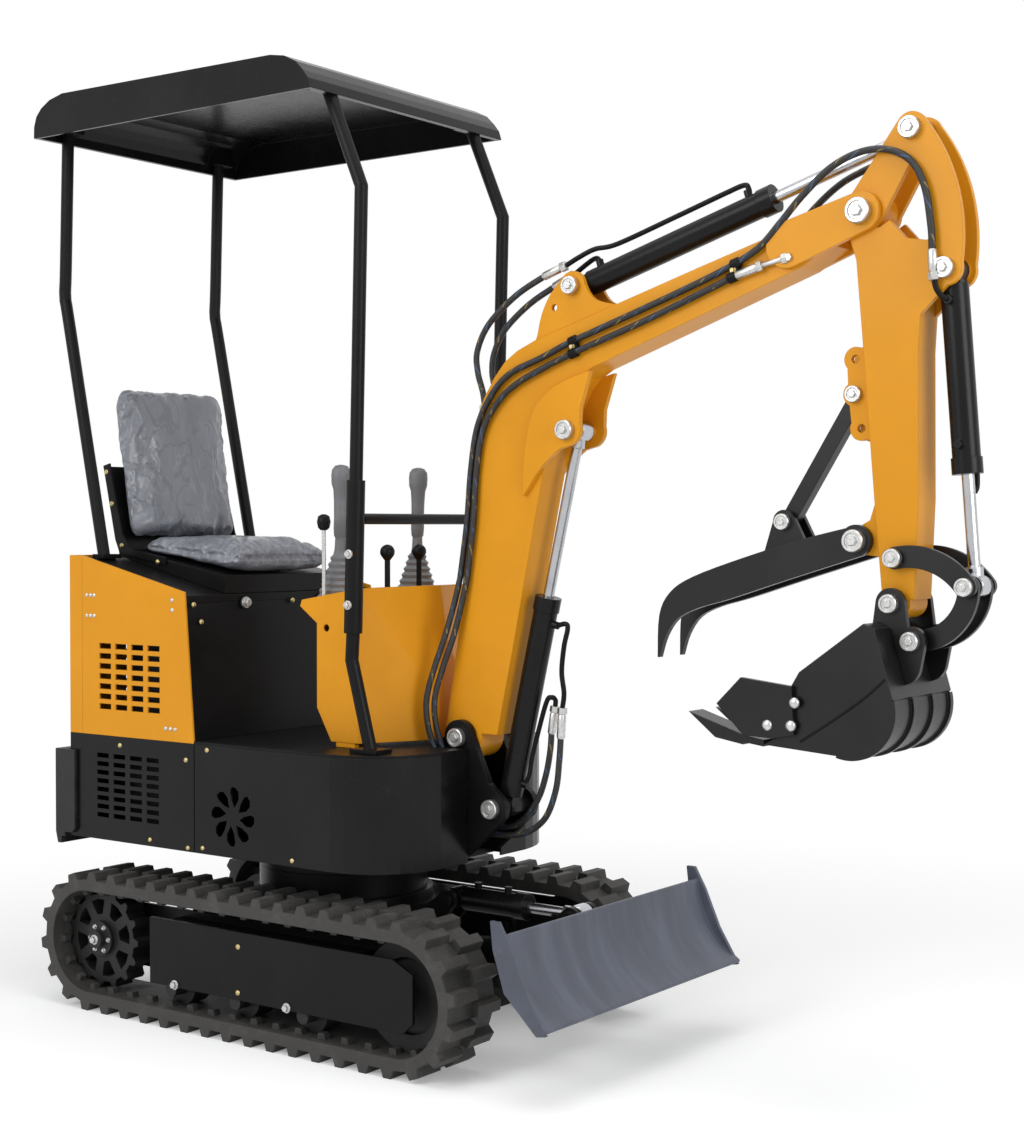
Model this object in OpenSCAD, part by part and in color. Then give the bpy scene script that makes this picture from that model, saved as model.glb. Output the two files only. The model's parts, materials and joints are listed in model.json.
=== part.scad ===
// Mini excavator of the one tonne class with a canopy, a dozer blade, a bucket and a thumb.
// Millimetres, X forward over the blade, Y to the operator's left, Z up from the ground.
// All places are measured from the slew axis, which stands slew_x from the origin.

/* [Overall] */
// Place of the slew axis along the machine
slew_x = -490; // [-500:1:-480]
// Half of the width over the tracks
half_width = 414; // [405:1:430]

/* [Undercarriage] */
// Width of a rubber track
belt_w = 168; // [160:1:176]
// Distance of sprocket and idler from the slew axis
wheel_reach = 510; // [490:1:525]
// Radius of the track around its wheels, without lugs
belt_r = 158; // [152:1:164]
// Thickness of the track
belt_t = 28; // [22:1:32]
// Height of a track lug
lug_h = 20; // [12:1:24]
// Lugs around one track
lug_count = 42; // [30:2:48]
// Radius of a bottom roller
roller_r = 45; // [38:1:50]
// Thickness of the track frame plates
frame_plate = 8; // [6:1:10]
// Space between the turntable and each track
ring_clear = 31; // [22:1:56]
// Height of the turntable's fixed ring
ring_h = 62; // [50:1:70]

/* [Blade] */
// Pivot of the blade arms, forward of the slew axis
blade_pivot_x = 400; // [395:1:410]
// Height of the blade pivot
blade_pivot_z = 235; // [228:1:242]
// Depth of the blade's curve
blade_sag = 26; // [18:1:34]
// Thickness of the moldboard
blade_t = 10; // [8:1:14]

/* [House] */
// Underside of the house
house_z = 432; // [428:1:440]
// Height of the deck
deck_z = 702; // [694:1:710]
// Half width of the house
house_hw = 355; // [348:1:362]
// Rear face of the house behind the slew axis
house_rear = 650; // [644:1:656]
// Thickness of the house panels
panel_t = 5; // [4:0.5:8]
// Seam between the engine covers and the side panels
seam_x = -180; // [-190:1:-170]
// Top of the engine cover at its rear
cover_top = 1166; // [1155:1:1175]
// Half width of the front hood
hood_hw = 232; // [222:1:240]
// Half width of the seat
seat_hw = 200; // [185:1:215]

/* [Canopy] */
// Half width between the posts' centres
post_y = 278; // [270:1:288]
// Radius of a canopy post
post_r = 16; // [14:0.5:18]
// Half width of the roof
roof_hw = 372; // [360:1:385]
// Highest point of the roof
roof_top = 2366; // [2356:1:2376]
// Thickness of the roof panel
roof_t = 12; // [8:1:16]

/* [Working gear] */
// Boom foot pin, forward of the slew axis
foot_x = 426; // [420:1:432]
// Boom foot pin, height
foot_z = 733; // [729:1:738]
// Boom tip pin, forward of the foot pin
tip_dx = 1048; // [1040:1:1056]
// Boom tip pin, above the foot pin
tip_dz = 1161; // [1155:1:1167]
// Half width of the boom's box
boom_hw = 45; // [44:0.5:47]
// Thickness of the boom's lug plates
lug_t = 12; // [10:1:14]
// Drop from the boom tip pin to the bucket pin
stick_len = 811; // [806:1:818]
// Half width of the stick's box
stick_hw = 43; // [41:0.5:44]
// Radius of the main pins
pin_r = 15; // [13:0.5:16]
// Half width of the bucket
bucket_hw = 145; // [138:1:152]
// Thickness of the bucket's plates
bucket_t = 8; // [6:0.5:10]
// Radius of the lifting hole in the boom's ears
lift_hole_r = 8; // [6:0.5:10]
// Radius of the holes for the thumb's strut
strut_hole_r = 9; // [7:0.5:10]

/* [Cylinders] */
// Radius of the barrels
barrel_r = 29; // [27:0.5:31]
// Radius of the rods
rod_r = 13; // [11:0.5:15]
// Half width of a cylinder's eyes
eye_hw = 21; // [19:0.5:22]

/* [Hidden] */
$fn = 48;
gap = 0.4;
fit = 0.05;
run = 2;

// Pins in the side view, as forward and up
foot = [foot_x, foot_z];
tip = foot + [tip_dx, tip_dz];
lift_foot = foot + [102, -164];
lift_eye = foot + [309, 731];
arm_foot = foot + [314, 1064];
arm_eye = tip + [106, 161];
bucket_pin = tip + [77, -stick_len];
guide_pin = bucket_pin + [2, 93];
dig_foot = tip + [181, -130];
link_pin = bucket_pin + [155, 36];
hook_pin = bucket_pin + [47, -76];
thumb_pin = bucket_pin + [-86, 128];
thumb_lug = thumb_pin + [-181, 40];
strut_holes = [for (p = [[-22, -303], [-24, -376], [-8, -448]]) tip + p];
strut_pin = strut_holes[1];
blade_pivot = [blade_pivot_x, blade_pivot_z];
blade_edge = blade_pivot + [525, -63];
blade_top = blade_pivot + [413, 124];
blade_lug = blade_pivot + [335, 95];
blade_foot = [372, 330];

// Undercarriage places
axle_z = belt_r + lug_h;
wheel_r = belt_r - belt_t - gap;
roller_z = lug_h + belt_t + gap + roller_r;
wheel_hw = 29;
rim_w = 27;
drive_lug_w = 20;
drive_lug_h = 13;
tooth_h = 16;
tooth_count = 15;
wheel_y = half_width - belt_w / 2;
plate_out = half_width - 9;
plate_in = half_width - 131;
plate_z0 = axle_z - 74;
plate_z1 = axle_z + 90;
plate_rear = 224 - wheel_reach;
block_front = wheel_reach - 160;
frame_top = 290;
ring_r = half_width - belt_w - ring_clear;
ring_z = frame_top + 30;
flange_z = ring_z + ring_h + 0.5;
blade_arm_y = plate_in - 93;
blade_arm_w = 38;

// House places
frame_t = 16;
floor_t = 6;
seam_w = 3;
floor_z = deck_z + floor_t + gap;
corner = 12;
front_x = 455;
door_x = -590;
curve_x = 270;
cover_front = [-211, 1078];
cover_slope = (cover_front.y - cover_top) / (cover_front.x - door_x);
function cover_line(x) = cover_front.y + (x - cover_front.x) * cover_slope;
lug_y = boom_hw + 4;
bracket_t = 18;
bracket_y = lug_y + bracket_t;
hood_x = [104, 300];
stick_at = [120, 150];
lever_at = [200, 62];
front_post = [[330, floor_z + 6], [272, 925], [276, 989], [286, 1350], [304, roof_top - 327],
  [194, roof_top - 72]];
rear_post = [[-592, cover_top - 4], [-741, roof_top - 513], [-726, roof_top - 64]];

// Puts children at the slew axis
module slewed() translate([slew_x, 0, 0]) children();

// Draws the children once on each side
module both() { children(); mirror([0, 1, 0]) children(); }

// Extrudes a side view from y0 to y0 + t
module side(y0, t) translate([0, y0 + t, 0]) rotate([90, 0, 0]) linear_extrude(t) children();

// Extrudes a side view evenly about the middle plane
module mid(w) side(-w / 2, w) children();

// Extrudes a side view as a pair of plates from y0 to y0 + t on each side
module pair(y0, t) both() side(y0, t) children();

// Round bar across the machine at a point of the side view
module bar(p, r, y0, y1) translate([p.x, y0, p.y]) rotate([-90, 0, 0]) cylinder(r = r, h = y1 - y0);

// Turns children about a pin
module about(p, a) translate([p.x, 0, p.y]) rotate([0, -a, 0]) children();

// Disc in the side view
module disc(p, r) translate(p) circle(r);

// Two discs joined by their tangents
module capsule(p, q, r1, r2) {
  d = q - p;
  a = atan2(d.y, d.x);
  b = acos((r1 - r2) / norm(d));
  disc(p, r1);
  disc(q, r2);
  polygon([for (s = [[p, r1, b], [q, r2, b], [q, r2, -b], [p, r1, -b]])
    s[0] + s[1] * [cos(a + s[2]), sin(a + s[2])]]);
}

// Arc from p to q that bulges to the left of the way by sag: its normal, radius and centre
function arc_n(p, q, sag) = [-(q - p).y, (q - p).x] / norm(q - p) * sign(sag);
function arc_r(p, q, sag) = (norm(q - p) ^ 2 / 4 + sag * sag) / (2 * abs(sag));
function arc_o(p, q, sag) = (p + q) / 2 - arc_n(p, q, sag) * (arc_r(p, q, sag) - abs(sag));

// Band of width w along such an arc
module arc_band(p, q, sag, w) {
  n = arc_n(p, q, sag);
  r = arc_r(p, q, sag);
  o = arc_o(p, q, sag);
  far = 2 * r;
  intersection() {
    difference() {
      disc(o, r + w / 2);
      disc(o, r - w / 2);
    }
    polygon([o, o + (p - o) / r * far, o + n * far * 1.2, o + (q - o) / r * far]);
  }
  disc(p, w / 2);
  disc(q, w / 2);
}

// Round tube through points of the side view at one y, with a ball at each bend
module tube(pts, y, r) for (i = [0:len(pts) - 2]) {
  d = pts[i + 1] - pts[i];
  along(pts[i], y, atan2(d.y, d.x)) cylinder(r = r, h = norm(d));
  if (i > 0) translate([pts[i].x, y, pts[i].y]) sphere(r = r + fit);
}
module along(p, y, a) translate([p.x, y, p.y]) rotate([0, 90 - a, 0]) children();

// Smooth way through points in space, with n steps between two of them
function way_at(p, i, t) = let (a = p[max(i - 1, 0)], b = p[i], c = p[i + 1], d = p[min(i + 2, len(p) - 1)])
  (2 * b + (c - a) * t + (2 * a - 5 * b + 4 * c - d) * t ^ 2 + (3 * b - a - 3 * c + d) * t ^ 3) / 2;
function way(p, n) = [for (i = [0:len(p) - 2], k = [0:n - 1]) way_at(p, i, k / n), p[len(p) - 1]];

// Hose of radius r along a smooth way, as a ring of corners at each step
module hose(pts, r, n = 5, corners = 10) {
  w = way(pts, n);
  last = len(w) - 1;
  rings = [for (i = [0:last]) let (
      t = w[min(i + 1, last)] - w[max(i - 1, 0)],
      u = cross(t, [0, 1, 0]) / norm(cross(t, [0, 1, 0])),
      v = cross(u, t) / norm(t))
    for (k = [0:corners - 1]) w[i] + r * (cos(k * 360 / corners) * u + sin(k * 360 / corners) * v)];
  polyhedron(rings, [
    [for (k = [corners - 1:-1:0]) k],
    for (i = [0:last - 1], k = [0:corners - 1]) let (a = i * corners, b = a + corners,
      m = (k + 1) % corners)
      [a + m, b + m, b + k, a + k],
    [for (k = [0:corners - 1]) last * corners + k]]);
}

// Undercarriage

// Stadium around sprocket and idler
module loop(r) capsule([-wheel_reach, axle_z], [wheel_reach, axle_z], r, r);

// Point on the track at a length along it, raised by h
loop_len = 4 * wheel_reach + 2 * PI * belt_r;
function on_loop(s0, h) =
  let (s = s0 - loop_len * floor(s0 / loop_len), l = 2 * wheel_reach, c = PI * belt_r, r = belt_r + h)
  s < l ? [s - wheel_reach, axle_z + r]
  : s < l + c ? let (a = 90 - (s - l) / c * 180) [wheel_reach + r * cos(a), axle_z + r * sin(a)]
  : s < 2 * l + c ? [wheel_reach - (s - l - c), axle_z - r]
  : let (a = 270 - (s - 2 * l - c) / c * 180) [-wheel_reach + r * cos(a), axle_z + r * sin(a)];

// Track outline with its lugs, shifted along by a part of the pitch
module lugged(shift) {
  pitch = loop_len / lug_count;
  polygon([for (i = [0:lug_count - 1], k = [[0, 0], [0.1, 1], [0.4, 1], [0.5, 0]])
    on_loop((i + k[0] + shift) * pitch, k[1] * lug_h)]);
}

// Drive lugs on the inside of the belt
module drive_lugs() {
  pitch = loop_len / lug_count;
  for (i = [0:lug_count - 1]) polygon([for (k = [[0.15, -4], [0.5, -4], [0.45, drive_lug_h],
    [0.2, drive_lug_h]])
    on_loop((i + k[0]) * pitch, -belt_t - k[1])]);
}

// Two rows of staggered lugs on one loop, with drive lugs beside the wheels
module track() color("#26262a") slewed() difference() {
  union() {
    side(-half_width, belt_w / 2) lugged(0);
    side(-half_width + belt_w / 2, belt_w / 2) lugged(0.5);
  }
  difference() {
    side(-half_width - 1, belt_w + 2) loop(belt_r - belt_t);
    side(-half_width + rim_w, drive_lug_w) drive_lugs();
  }
}
module track_right() track();
module track_left() mirror([0, 1, 0]) track();

module frame_plate_2d(rear) polygon([[rear, plate_z0], [rear, plate_z1], [wheel_reach - 10, plate_z1],
  [wheel_reach + 50, plate_z1 - 28], [wheel_reach + 50, plate_z0 + 26], [wheel_reach + 20, plate_z0]]);
module track_frame() color("#1b1b1d") slewed() difference() {
  union() {
    side(-plate_out, frame_plate) frame_plate_2d(plate_rear);
    side(-plate_in - frame_plate, frame_plate) frame_plate_2d(-wheel_reach - 50);
    side(-plate_out + frame_plate, plate_out - plate_in - 2 * frame_plate)
      polygon([[plate_rear, axle_z - 18], [plate_rear, plate_z1 - 18], [block_front, plate_z1 - 18],
        [block_front, axle_z - 18]]);
  }
  bar([-wheel_reach, axle_z], 60 + gap, -half_width, 0);
}
module track_frame_right() track_frame();
module track_frame_left() mirror([0, 1, 0]) track_frame();

module wheel(x, z, r) bar([x, z], r, -wheel_y - wheel_hw, -wheel_y + wheel_hw);

// Toothed sprockets with spokes and a hub cap, seated on the travel motors' hubs
module sprocket_2d() difference() {
  union() {
    circle(wheel_r - tooth_h);
    for (i = [0:tooth_count - 1]) rotate(i * 360 / tooth_count)
      polygon([[wheel_r - tooth_h - 4, -14], [wheel_r, -6], [wheel_r, 6], [wheel_r - tooth_h - 4, 14]]);
  }
  for (i = [0:7]) rotate(i * 45 + 12)
    polygon([[62, -11], [wheel_r - 34, -25], [wheel_r - 29, 0], [wheel_r - 34, 25], [62, 11], [60, 0]]);
}
module drive_sprockets() color("#222224") slewed() both() {
  difference() {
    side(-wheel_y - wheel_hw, 2 * wheel_hw) translate([-wheel_reach, axle_z]) sprocket_2d();
    bar([-wheel_reach, axle_z], 50 + gap, -wheel_y - 10, 0);
  }
  bar([-wheel_reach, axle_z], 44, -wheel_y - wheel_hw - 12, -wheel_y - wheel_hw + 1);
  bar([-wheel_reach, axle_z], 22, -wheel_y - wheel_hw - 28, -wheel_y - wheel_hw + 1);
}
module travel_motors() color("#2b2b2e") slewed() both() {
  bar([-wheel_reach, axle_z], 50, -wheel_y - 10 + gap, -plate_in - frame_plate + 1);
  bar([-wheel_reach, axle_z], 60, -plate_in - frame_plate, -plate_in);
  bar([-wheel_reach, axle_z], 78, -plate_in + gap, -plate_in + 60);
  bar([-wheel_reach, axle_z], 60, -plate_in - 1, -plate_in + 2);
}

module axle(x, z, r) bar([x, z], r, -plate_out + frame_plate + gap, -plate_in - frame_plate - gap);
module idlers() color("#222224") slewed() both() {
  difference() {
    wheel(wheel_reach, axle_z, wheel_r);
    for (s = [-1, 1])
      bar([wheel_reach, axle_z], wheel_r - 42, -wheel_y + s * wheel_hw - 12, -wheel_y + s * wheel_hw + 12);
  }
  axle(wheel_reach, axle_z, 24);
}
module track_rollers() color("#222224") slewed() both() for (x = [-220, 0, 220]) {
  wheel(x, roller_z, roller_r);
  axle(x, roller_z, 18);
}

module centre_frame() color("#1b1b1d") slewed() {
  difference() {
    union() {
      translate([-260, -plate_in + gap, axle_z - 28]) cube([520, 2 * (plate_in - gap),
        frame_top - axle_z + 28]);
      translate([0, 0, frame_top - 1]) cylinder(r = ring_r + 15, h = 31, $fn = 64);
      for (s = [-1, 1]) translate([180, s * blade_arm_y - 35, 170]) cube([170, 70, 110]);
      translate([250, -60, 250]) cube([90, 120, 40]);
    }
    for (x = [-190, 190]) translate([x - 40, -plate_in + 60, 100]) cube([80, 2 * plate_in - 120, 90]);
  }
  for (y = [-blade_arm_y - blade_arm_w / 2 - 16, -blade_arm_y + blade_arm_w / 2 + 1]) both() difference() {
    side(y, 15) capsule([340, blade_pivot_z - 8], blade_pivot, 40, 32);
    bar(blade_pivot, pin_r + fit, y - 1, y + 16);
  }
  pair(-42, 14) capsule([325, 285], blade_foot, 30, 24);
  bar(blade_foot, pin_r, -52, 52);
}

module slew_ring() color("#2e2e31") slewed() translate([0, 0, ring_z]) difference() {
  cylinder(r = ring_r, h = ring_h, $fn = 64);
  translate([0, 0, -1]) cylinder(r = ring_r - 45, h = ring_h + 2, $fn = 64);
}

// Blade

// Curved moldboard with a wing plate at each end
module blade_board() color("#3a3f47") slewed() {
  mid(2 * half_width) arc_band(blade_edge, blade_top, blade_sag, blade_t);
  pair(-half_width, 10) polygon([blade_edge + [4, -8], blade_edge + [-20, -12], blade_pivot + [420, 5],
    blade_pivot + [390, 95], blade_pivot + [383, 157], blade_pivot + [405, 157], blade_pivot + [435, 105],
    blade_pivot + [475, 15]]);
}
module blade_arms() color("#1b1b1d") slewed() {
  both() difference() {
    side(-blade_arm_y - blade_arm_w / 2, blade_arm_w) difference() {
      union() {
        disc(blade_pivot, 32);
        polygon([blade_pivot + [-5, 32], blade_pivot + [300, 72], blade_pivot + [440, 70],
          blade_pivot + [470, -36],
          blade_pivot + [420, -40], blade_pivot + [300, -10], blade_pivot + [5, -32]]);
      }
      disc(arc_o(blade_edge, blade_top, blade_sag),
        arc_r(blade_edge, blade_top, blade_sag) + blade_t / 2 + gap, $fn = 120);
    }
  }
  both() bar(blade_pivot, pin_r, -blade_arm_y - 42, -blade_arm_y + 42);
  translate([blade_pivot_x + 240, -blade_arm_y, blade_pivot_z + 24]) cube([70, 2 * blade_arm_y, 36]);
  pair(-42, 14) capsule(blade_pivot + [285, 48], blade_lug, 26, 24);
  both() bar(blade_lug, pin_r, -52, -eye_hw - run);
}

// Cylinders

// Barrel from its foot pin toward its eye pin, with two hose ports turned by port
module barrel(a, b, len, port) {
  d = b - a;
  about(a, atan2(d.y, d.x)) difference() {
    union() {
      rotate([0, 90, 0]) translate([0, 0, 30]) cylinder(r = barrel_r, h = len - 30);
      translate([len - 34, 0, 0]) rotate([0, 90, 0]) cylinder(r = barrel_r + 3, h = 34);
      bar([0, 0], 26, -eye_hw, eye_hw);
      translate([0, -eye_hw + 2, -20]) cube([40, 2 * eye_hw - 4, 40]);
      for (x = [64, len - 60]) translate([x, 0, 0]) rotate([port, 0, 0]) cylinder(r = 9, h = barrel_r + 14);
    }
    bar([0, 0], pin_r + fit, -30, 30);
    rotate([0, 90, 0]) translate([0, 0, 54]) cylinder(r = rod_r + 1, h = len);
  }
}
// Rod from inside the barrel to its open eye
module rod(a, b, len, inside) {
  d = b - a;
  l = norm(d);
  about(a, atan2(d.y, d.x)) {
    rotate([0, 90, 0]) translate([0, 0, len - inside]) cylinder(r = rod_r, h = l - len + inside - 18);
    difference() {
      union() {
        bar([l, 0], 25, -eye_hw, eye_hw);
        translate([l - 40, 0, 0]) rotate([0, 90, 0]) cylinder(r = 18, h = 24);
      }
      bar([l, 0], pin_r + 1, -30, 30);
    }
  }
}
module blade_barrel() color("#1b1b1d") slewed() barrel(blade_foot, blade_lug, 215, 0);
module blade_rod() color("#c9ccd0") slewed() rod(blade_foot, blade_lug, 215, 120);
module lift_barrel() color("#161618") slewed() barrel(lift_foot, lift_eye, 519, 180);
module lift_rod() color("#c9ccd0") slewed() rod(lift_foot, lift_eye, 519, 290);
module arm_barrel() color("#161618") slewed() barrel(arm_foot, arm_eye, 530, 0);
module arm_rod() color("#c9ccd0") slewed() rod(arm_foot, arm_eye, 530, 190);
module dig_barrel() color("#161618") slewed() barrel(dig_foot, link_pin, 418, 90);
module dig_rod() color("#c9ccd0") slewed() rod(dig_foot, link_pin, 418, 170);

// House

// Right half of the house's plan from rear to front, drawn in by d, with a curved front corner
function bow(a, c, b, t) = a * (1 - t) ^ 2 + 2 * c * t * (1 - t) + b * t ^ 2;
function half_plan(d) = [
  [-house_rear + d, -house_hw + corner + d], [-house_rear + corner + d, -house_hw + d],
  for (k = [0:8]) bow([curve_x, -house_hw + d], [front_x - 20 - d, -house_hw + 10 + d],
    [front_x - d, -170 + d / 2], k / 8)];
function across(p) = [for (k = [len(p) - 1:-1:0]) [p[k].x, -p[k].y]];
module plan(d) polygon(concat(half_plan(d), across(half_plan(d))));

// Sheet around the house from z0 to z1, between two places along it
module skin(x0, x1, z0, z1) translate([0, 0, z0]) linear_extrude(z1 - z0) intersection() {
  difference() { plan(0); plan(panel_t); }
  translate([x0, -house_hw - 1]) square([x1 - x0, 2 * house_hw + 2]);
}
module right_half(y1) translate([-1000, -1000, 0]) cube([2000, 1000 + y1, 3000]);

// Block of slots through a side panel
module slots(x0, z0, cols, rows, w, h, pitch_x, pitch_z)
  for (i = [0:cols - 1], j = [0:rows - 1])
    translate([x0 + i * pitch_x, -house_hw - 10, z0 + j * pitch_z]) cube([w, 30, h]);

module deck_frame() color("#1b1b1d") slewed() {
  difference() {
    translate([0, 0, house_z]) linear_extrude(frame_t) plan(panel_t + gap);
    translate([410, -100, house_z - 1]) cube([100, 200, frame_t + 2]);
  }
  translate([0, 0, flange_z]) cylinder(r = ring_r, h = house_z - flange_z + 1, $fn = 64);
  translate([0, 0, ring_z + 6]) cylinder(r = ring_r - 45.5, h = house_z - ring_z - 5, $fn = 64);
}

// Two plates that carry the boom foot and the boom cylinder
module bracket_2d() {
  z0 = house_z + frame_t;
  polygon([[340, z0], [340, deck_z - 12], foot + [-42, 0], foot + [-20, 37], foot + [30, 30],
    lift_foot + [-10, 60], lift_foot + [28, 28], lift_foot + [28, -28], [480, z0 + 24], [452, z0]]);
  disc(foot, 42);
  disc(lift_foot, 40);
}
module boom_bracket() color("#1b1b1d") slewed() {
  pair(-bracket_y, bracket_t) bracket_2d();
  translate([340, -lug_y - 1, house_z + frame_t]) cube([20, 2 * lug_y + 2, 220]);
  for (p = [foot, lift_foot]) bar(p, pin_r, -bracket_y - 14, bracket_y + 14);
  both() bar(lift_foot, 24, -lug_y - 1, -eye_hw - run);
}

// Black side panel with a fan-shaped vent, round the front corner to the bracket
module side_panel() color("#161618") slewed() difference() {
  intersection() {
    skin(seam_x + seam_w, 470, house_z, deck_z);
    right_half(-bracket_y - gap);
  }
  translate([-46, 0, 533]) rotate([90, 0, 0]) for (i = [0:7]) rotate(i * 45) linear_extrude(house_hw + 20)
    polygon([[22, -6], [44, -20], [62, -20], [72, -10], [73, 4], [62, 9], [40, 4]]);
}
module side_panel_right() side_panel();
module side_panel_left() mirror([0, 1, 0]) side_panel();

module lower_cover() color("#161618") slewed() difference() {
  intersection() {
    skin(-house_rear - 1, seam_x, house_z, deck_z);
    right_half(-gap / 2);
  }
  slots(-535, 490, 4, 8, 44, 12, 62, 22);
}
module lower_cover_right() lower_cover();
module lower_cover_left() mirror([0, 1, 0]) lower_cover();

// Heavy block across the rear with short wings and a hook below
module counterweight() color("#141416") slewed() {
  mid(2 * (house_hw + 10)) polygon([[-house_rear - gap, 428], [-house_rear - gap, 658],
    [-house_rear - 36, 658],
    [-house_rear - 36, 440], [-house_rear - 28, 410], [-house_rear - 14, 410], [-house_rear - 14, 428]]);
  pair(-house_hw - 10, 10 - gap) polygon([[-house_rear - 10, 440], [-house_rear - 10, 658],
    [-house_rear + 38, 658], [-house_rear + 38, 452], [-house_rear + 26, 440]]);
}

module engine_cover() color("#e09a1c") slewed() difference() {
  side(-house_hw, panel_t) polygon([[door_x, deck_z + gap], [door_x, cover_top], cover_front,
    [seam_x, deck_z + gap]]);
  slots(-525, 770, 4, 7, 44, 14, 60, 26);
}
module engine_cover_right() engine_cover();
module engine_cover_left() mirror([0, 1, 0]) engine_cover();
module engine_cover_rear() color("#e09a1c") slewed() difference() {
  skin(-house_rear - 1, door_x - gap, deck_z + gap, cover_top);
  for (i = [0:5], j = [0:5]) translate([-house_rear - 10, -155 + i * 54, 790 + j * 40]) cube([30, 40, 14]);
}

// Sheet under the seat, level at the rear and sloping to the front
module engine_deck() color("#1b1b1d") slewed() intersection() {
  mid(2 * house_hw) polygon([[-house_rear, cover_top - 30], [-house_rear, cover_top - 10],
    [door_x, cover_top - 10], cover_front + [-2, -10], cover_front + [-2, -30]]);
  translate([0, 0, deck_z]) linear_extrude(600) plan(panel_t + gap);
}
module engine_block() color("#4a4a4d") slewed()
  translate([-540, -240, house_z + frame_t + gap]) cube([310, 480, 560]);
module seat_box() color("#141416") slewed() mid(2 * (house_hw - panel_t - gap))
  polygon([cover_front + [-8, -30 - gap], cover_front + [-2, -30 - gap], [seam_x - 2, floor_z],
    [seam_x - 8, floor_z]]);

module floor_plate() color("#1b1b1d") slewed() difference() {
  translate([0, 0, deck_z + gap]) linear_extrude(floor_t) {
    intersection() {
      plan(0);
      translate([seam_x + gap, -400]) square([700, 800]);
    }
    intersection() {
      plan(panel_t + gap);
      translate([seam_x - 10, -400]) square([20, 800]);
    }
  }
  translate([336, -bracket_y - 4, deck_z - 1]) cube([200, 2 * bracket_y + 8, 20]);
}

// Hood with a notch behind, a front that is swept back to the sides and a sloping facet on each side of it
hood_nose = 342;
hood_side_x = 250;
hood_foot = floor_z + 12;
module hood_2d(t) polygon([[165 + t, hood_foot - t], [119 + t, 801], [119 + t, 1006], [64 + t, 1046],
  [70 + t, 1062 - t], [262, 1094 - t], [hood_nose + 20, 1098 - t], [hood_nose + 20, hood_foot - t]]);
module hood_plan(t) polygon([[0, -hood_hw + t], [hood_side_x - t / 2, -hood_hw + t], [hood_nose - t, -60],
  [hood_nose - t, 60], [hood_side_x - t / 2, hood_hw - t], [0, hood_hw - t]]);
facet = [[hood_side_x, -hood_hw, 1094], [305, -129, 950], [hood_nose, 0, 958]];
module above_facet(t) {
  u = (facet[1] - facet[0]) / norm(facet[1] - facet[0]);
  c = cross(facet[1] - facet[0], facet[2] - facet[0]);
  n = c / norm(c);
  v = cross(n, u);
  o = facet[0] - n * t;
  multmatrix([for (i = [0:2]) [u[i], v[i], n[i], o[i]]]) translate([-400, -400, 0]) cube([800, 800, 300]);
}
module hood_body(t) difference() {
  intersection() {
    mid(2 * hood_hw) hood_2d(t);
    translate([0, 0, 600]) linear_extrude(600) hood_plan(t);
  }
  both() above_facet(t);
}
module front_hood() color("#e09a1c") slewed() {
  difference() {
    hood_body(0);
    hood_body(panel_t);
    translate([150, 0, 995]) rotate([90, 0, 0]) cylinder(r = 9, h = 300);
    both() translate([stick_at.x, -stick_at.y, 1020]) cylinder(r = 42 + gap, h = 200);
    both() translate([lever_at.x, -lever_at.y, 1020]) cylinder(r = 7 + gap, h = 200);
  }
  both() translate([180, -hood_hw + 1, floor_z + gap]) cube([60, panel_t + 10, 20]);
}
module joysticks() color("#5b5d62") slewed() both() translate([stick_at.x, -stick_at.y, 0]) {
  translate([0, 0, 1040]) cylinder(r = 42, h = 40);
  translate([0, 0, 1079]) cylinder(r1 = 42, r2 = 15, h = 110);
  translate([0, 0, 1188]) cylinder(r = 10, h = 40);
  translate([0, 0, 1227]) cylinder(r1 = 17, r2 = 24, h = 150);
}
module travel_levers() color("#1b1b1d") slewed() both() translate([lever_at.x, -lever_at.y, 0]) {
  translate([0, 0, 1040]) cylinder(r = 7, h = 130);
  translate([0, 0, 1178]) sphere(r = 17);
}

// Pan and back plate of the seat, seated on the sloping sheet
module seat_frame() color("#141416") slewed() mid(2 * seat_hw + 16) {
  polygon([[-570, cover_line(-570) - 10 + gap], [-596, 1160 + gap], [-600, pan_line(-600)],
    [-212, pan_line(-212)],
    [-216, cover_line(-216) - 10 + gap]]);
  polygon([[-590, 1162], [-612, 1168], [-666, 1400], [back_line(1402), 1402], [back_line(1180), 1180],
    [-590, 1178]]);
}
// Top of the seat's pan, and front of its back plate
function pan_line(x) = 1180 - (x + 600) * 0.165;
function back_line(z) = -600 - (z - 1180) * 0.27;
module seat_cushion() color("#6c6e73") slewed() mid(2 * seat_hw)
  polygon([[-594, pan_line(-594) + gap], [-590, 1214], [-560, 1226], [-230, 1184], [-194, 1160],
    [-212, pan_line(-212) + gap]]);
module seat_back() color("#6c6e73") slewed() mid(2 * seat_hw)
  polygon([[back_line(1236) + gap, 1236], [back_line(1402) + gap, 1402], [-664, 1570], [-650, 1606],
    [-614, 1606],
    [-596, 1576], [-572, 1240]]);

// Canopy

module front_posts() color("#161618") slewed() both() {
  tube(front_post, -post_y, post_r);
  along(front_post[2], -post_y, atan2(front_post[3].y - front_post[2].y, front_post[3].x - front_post[2].x))
    cylinder(r = post_r + 6, h = norm(front_post[3] - front_post[2]));
  translate([front_post[0].x - 40, -post_y - 30, floor_z + gap]) cube([80, 60, 10]);
}
module rear_posts() color("#161618") slewed() both() {
  bend = rear_post[1];
  hose([for (p = [rear_post[0], bend + (rear_post[0] - bend) * 0.12, bend,
    bend + (rear_post[2] - bend) * 0.18,
    rear_post[2]]) [p.x, -post_y, p.y]], post_r, 4, 16);
  translate([rear_post[0].x - 20, -post_y - 22, cover_top - 10 + gap]) cube([44, 60, 12]);
}
module crossbar() color("#161618") slewed()
  bar([283, 1259], 13, -post_y + post_r + 6 + gap, post_y - post_r - 6 - gap);

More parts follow.
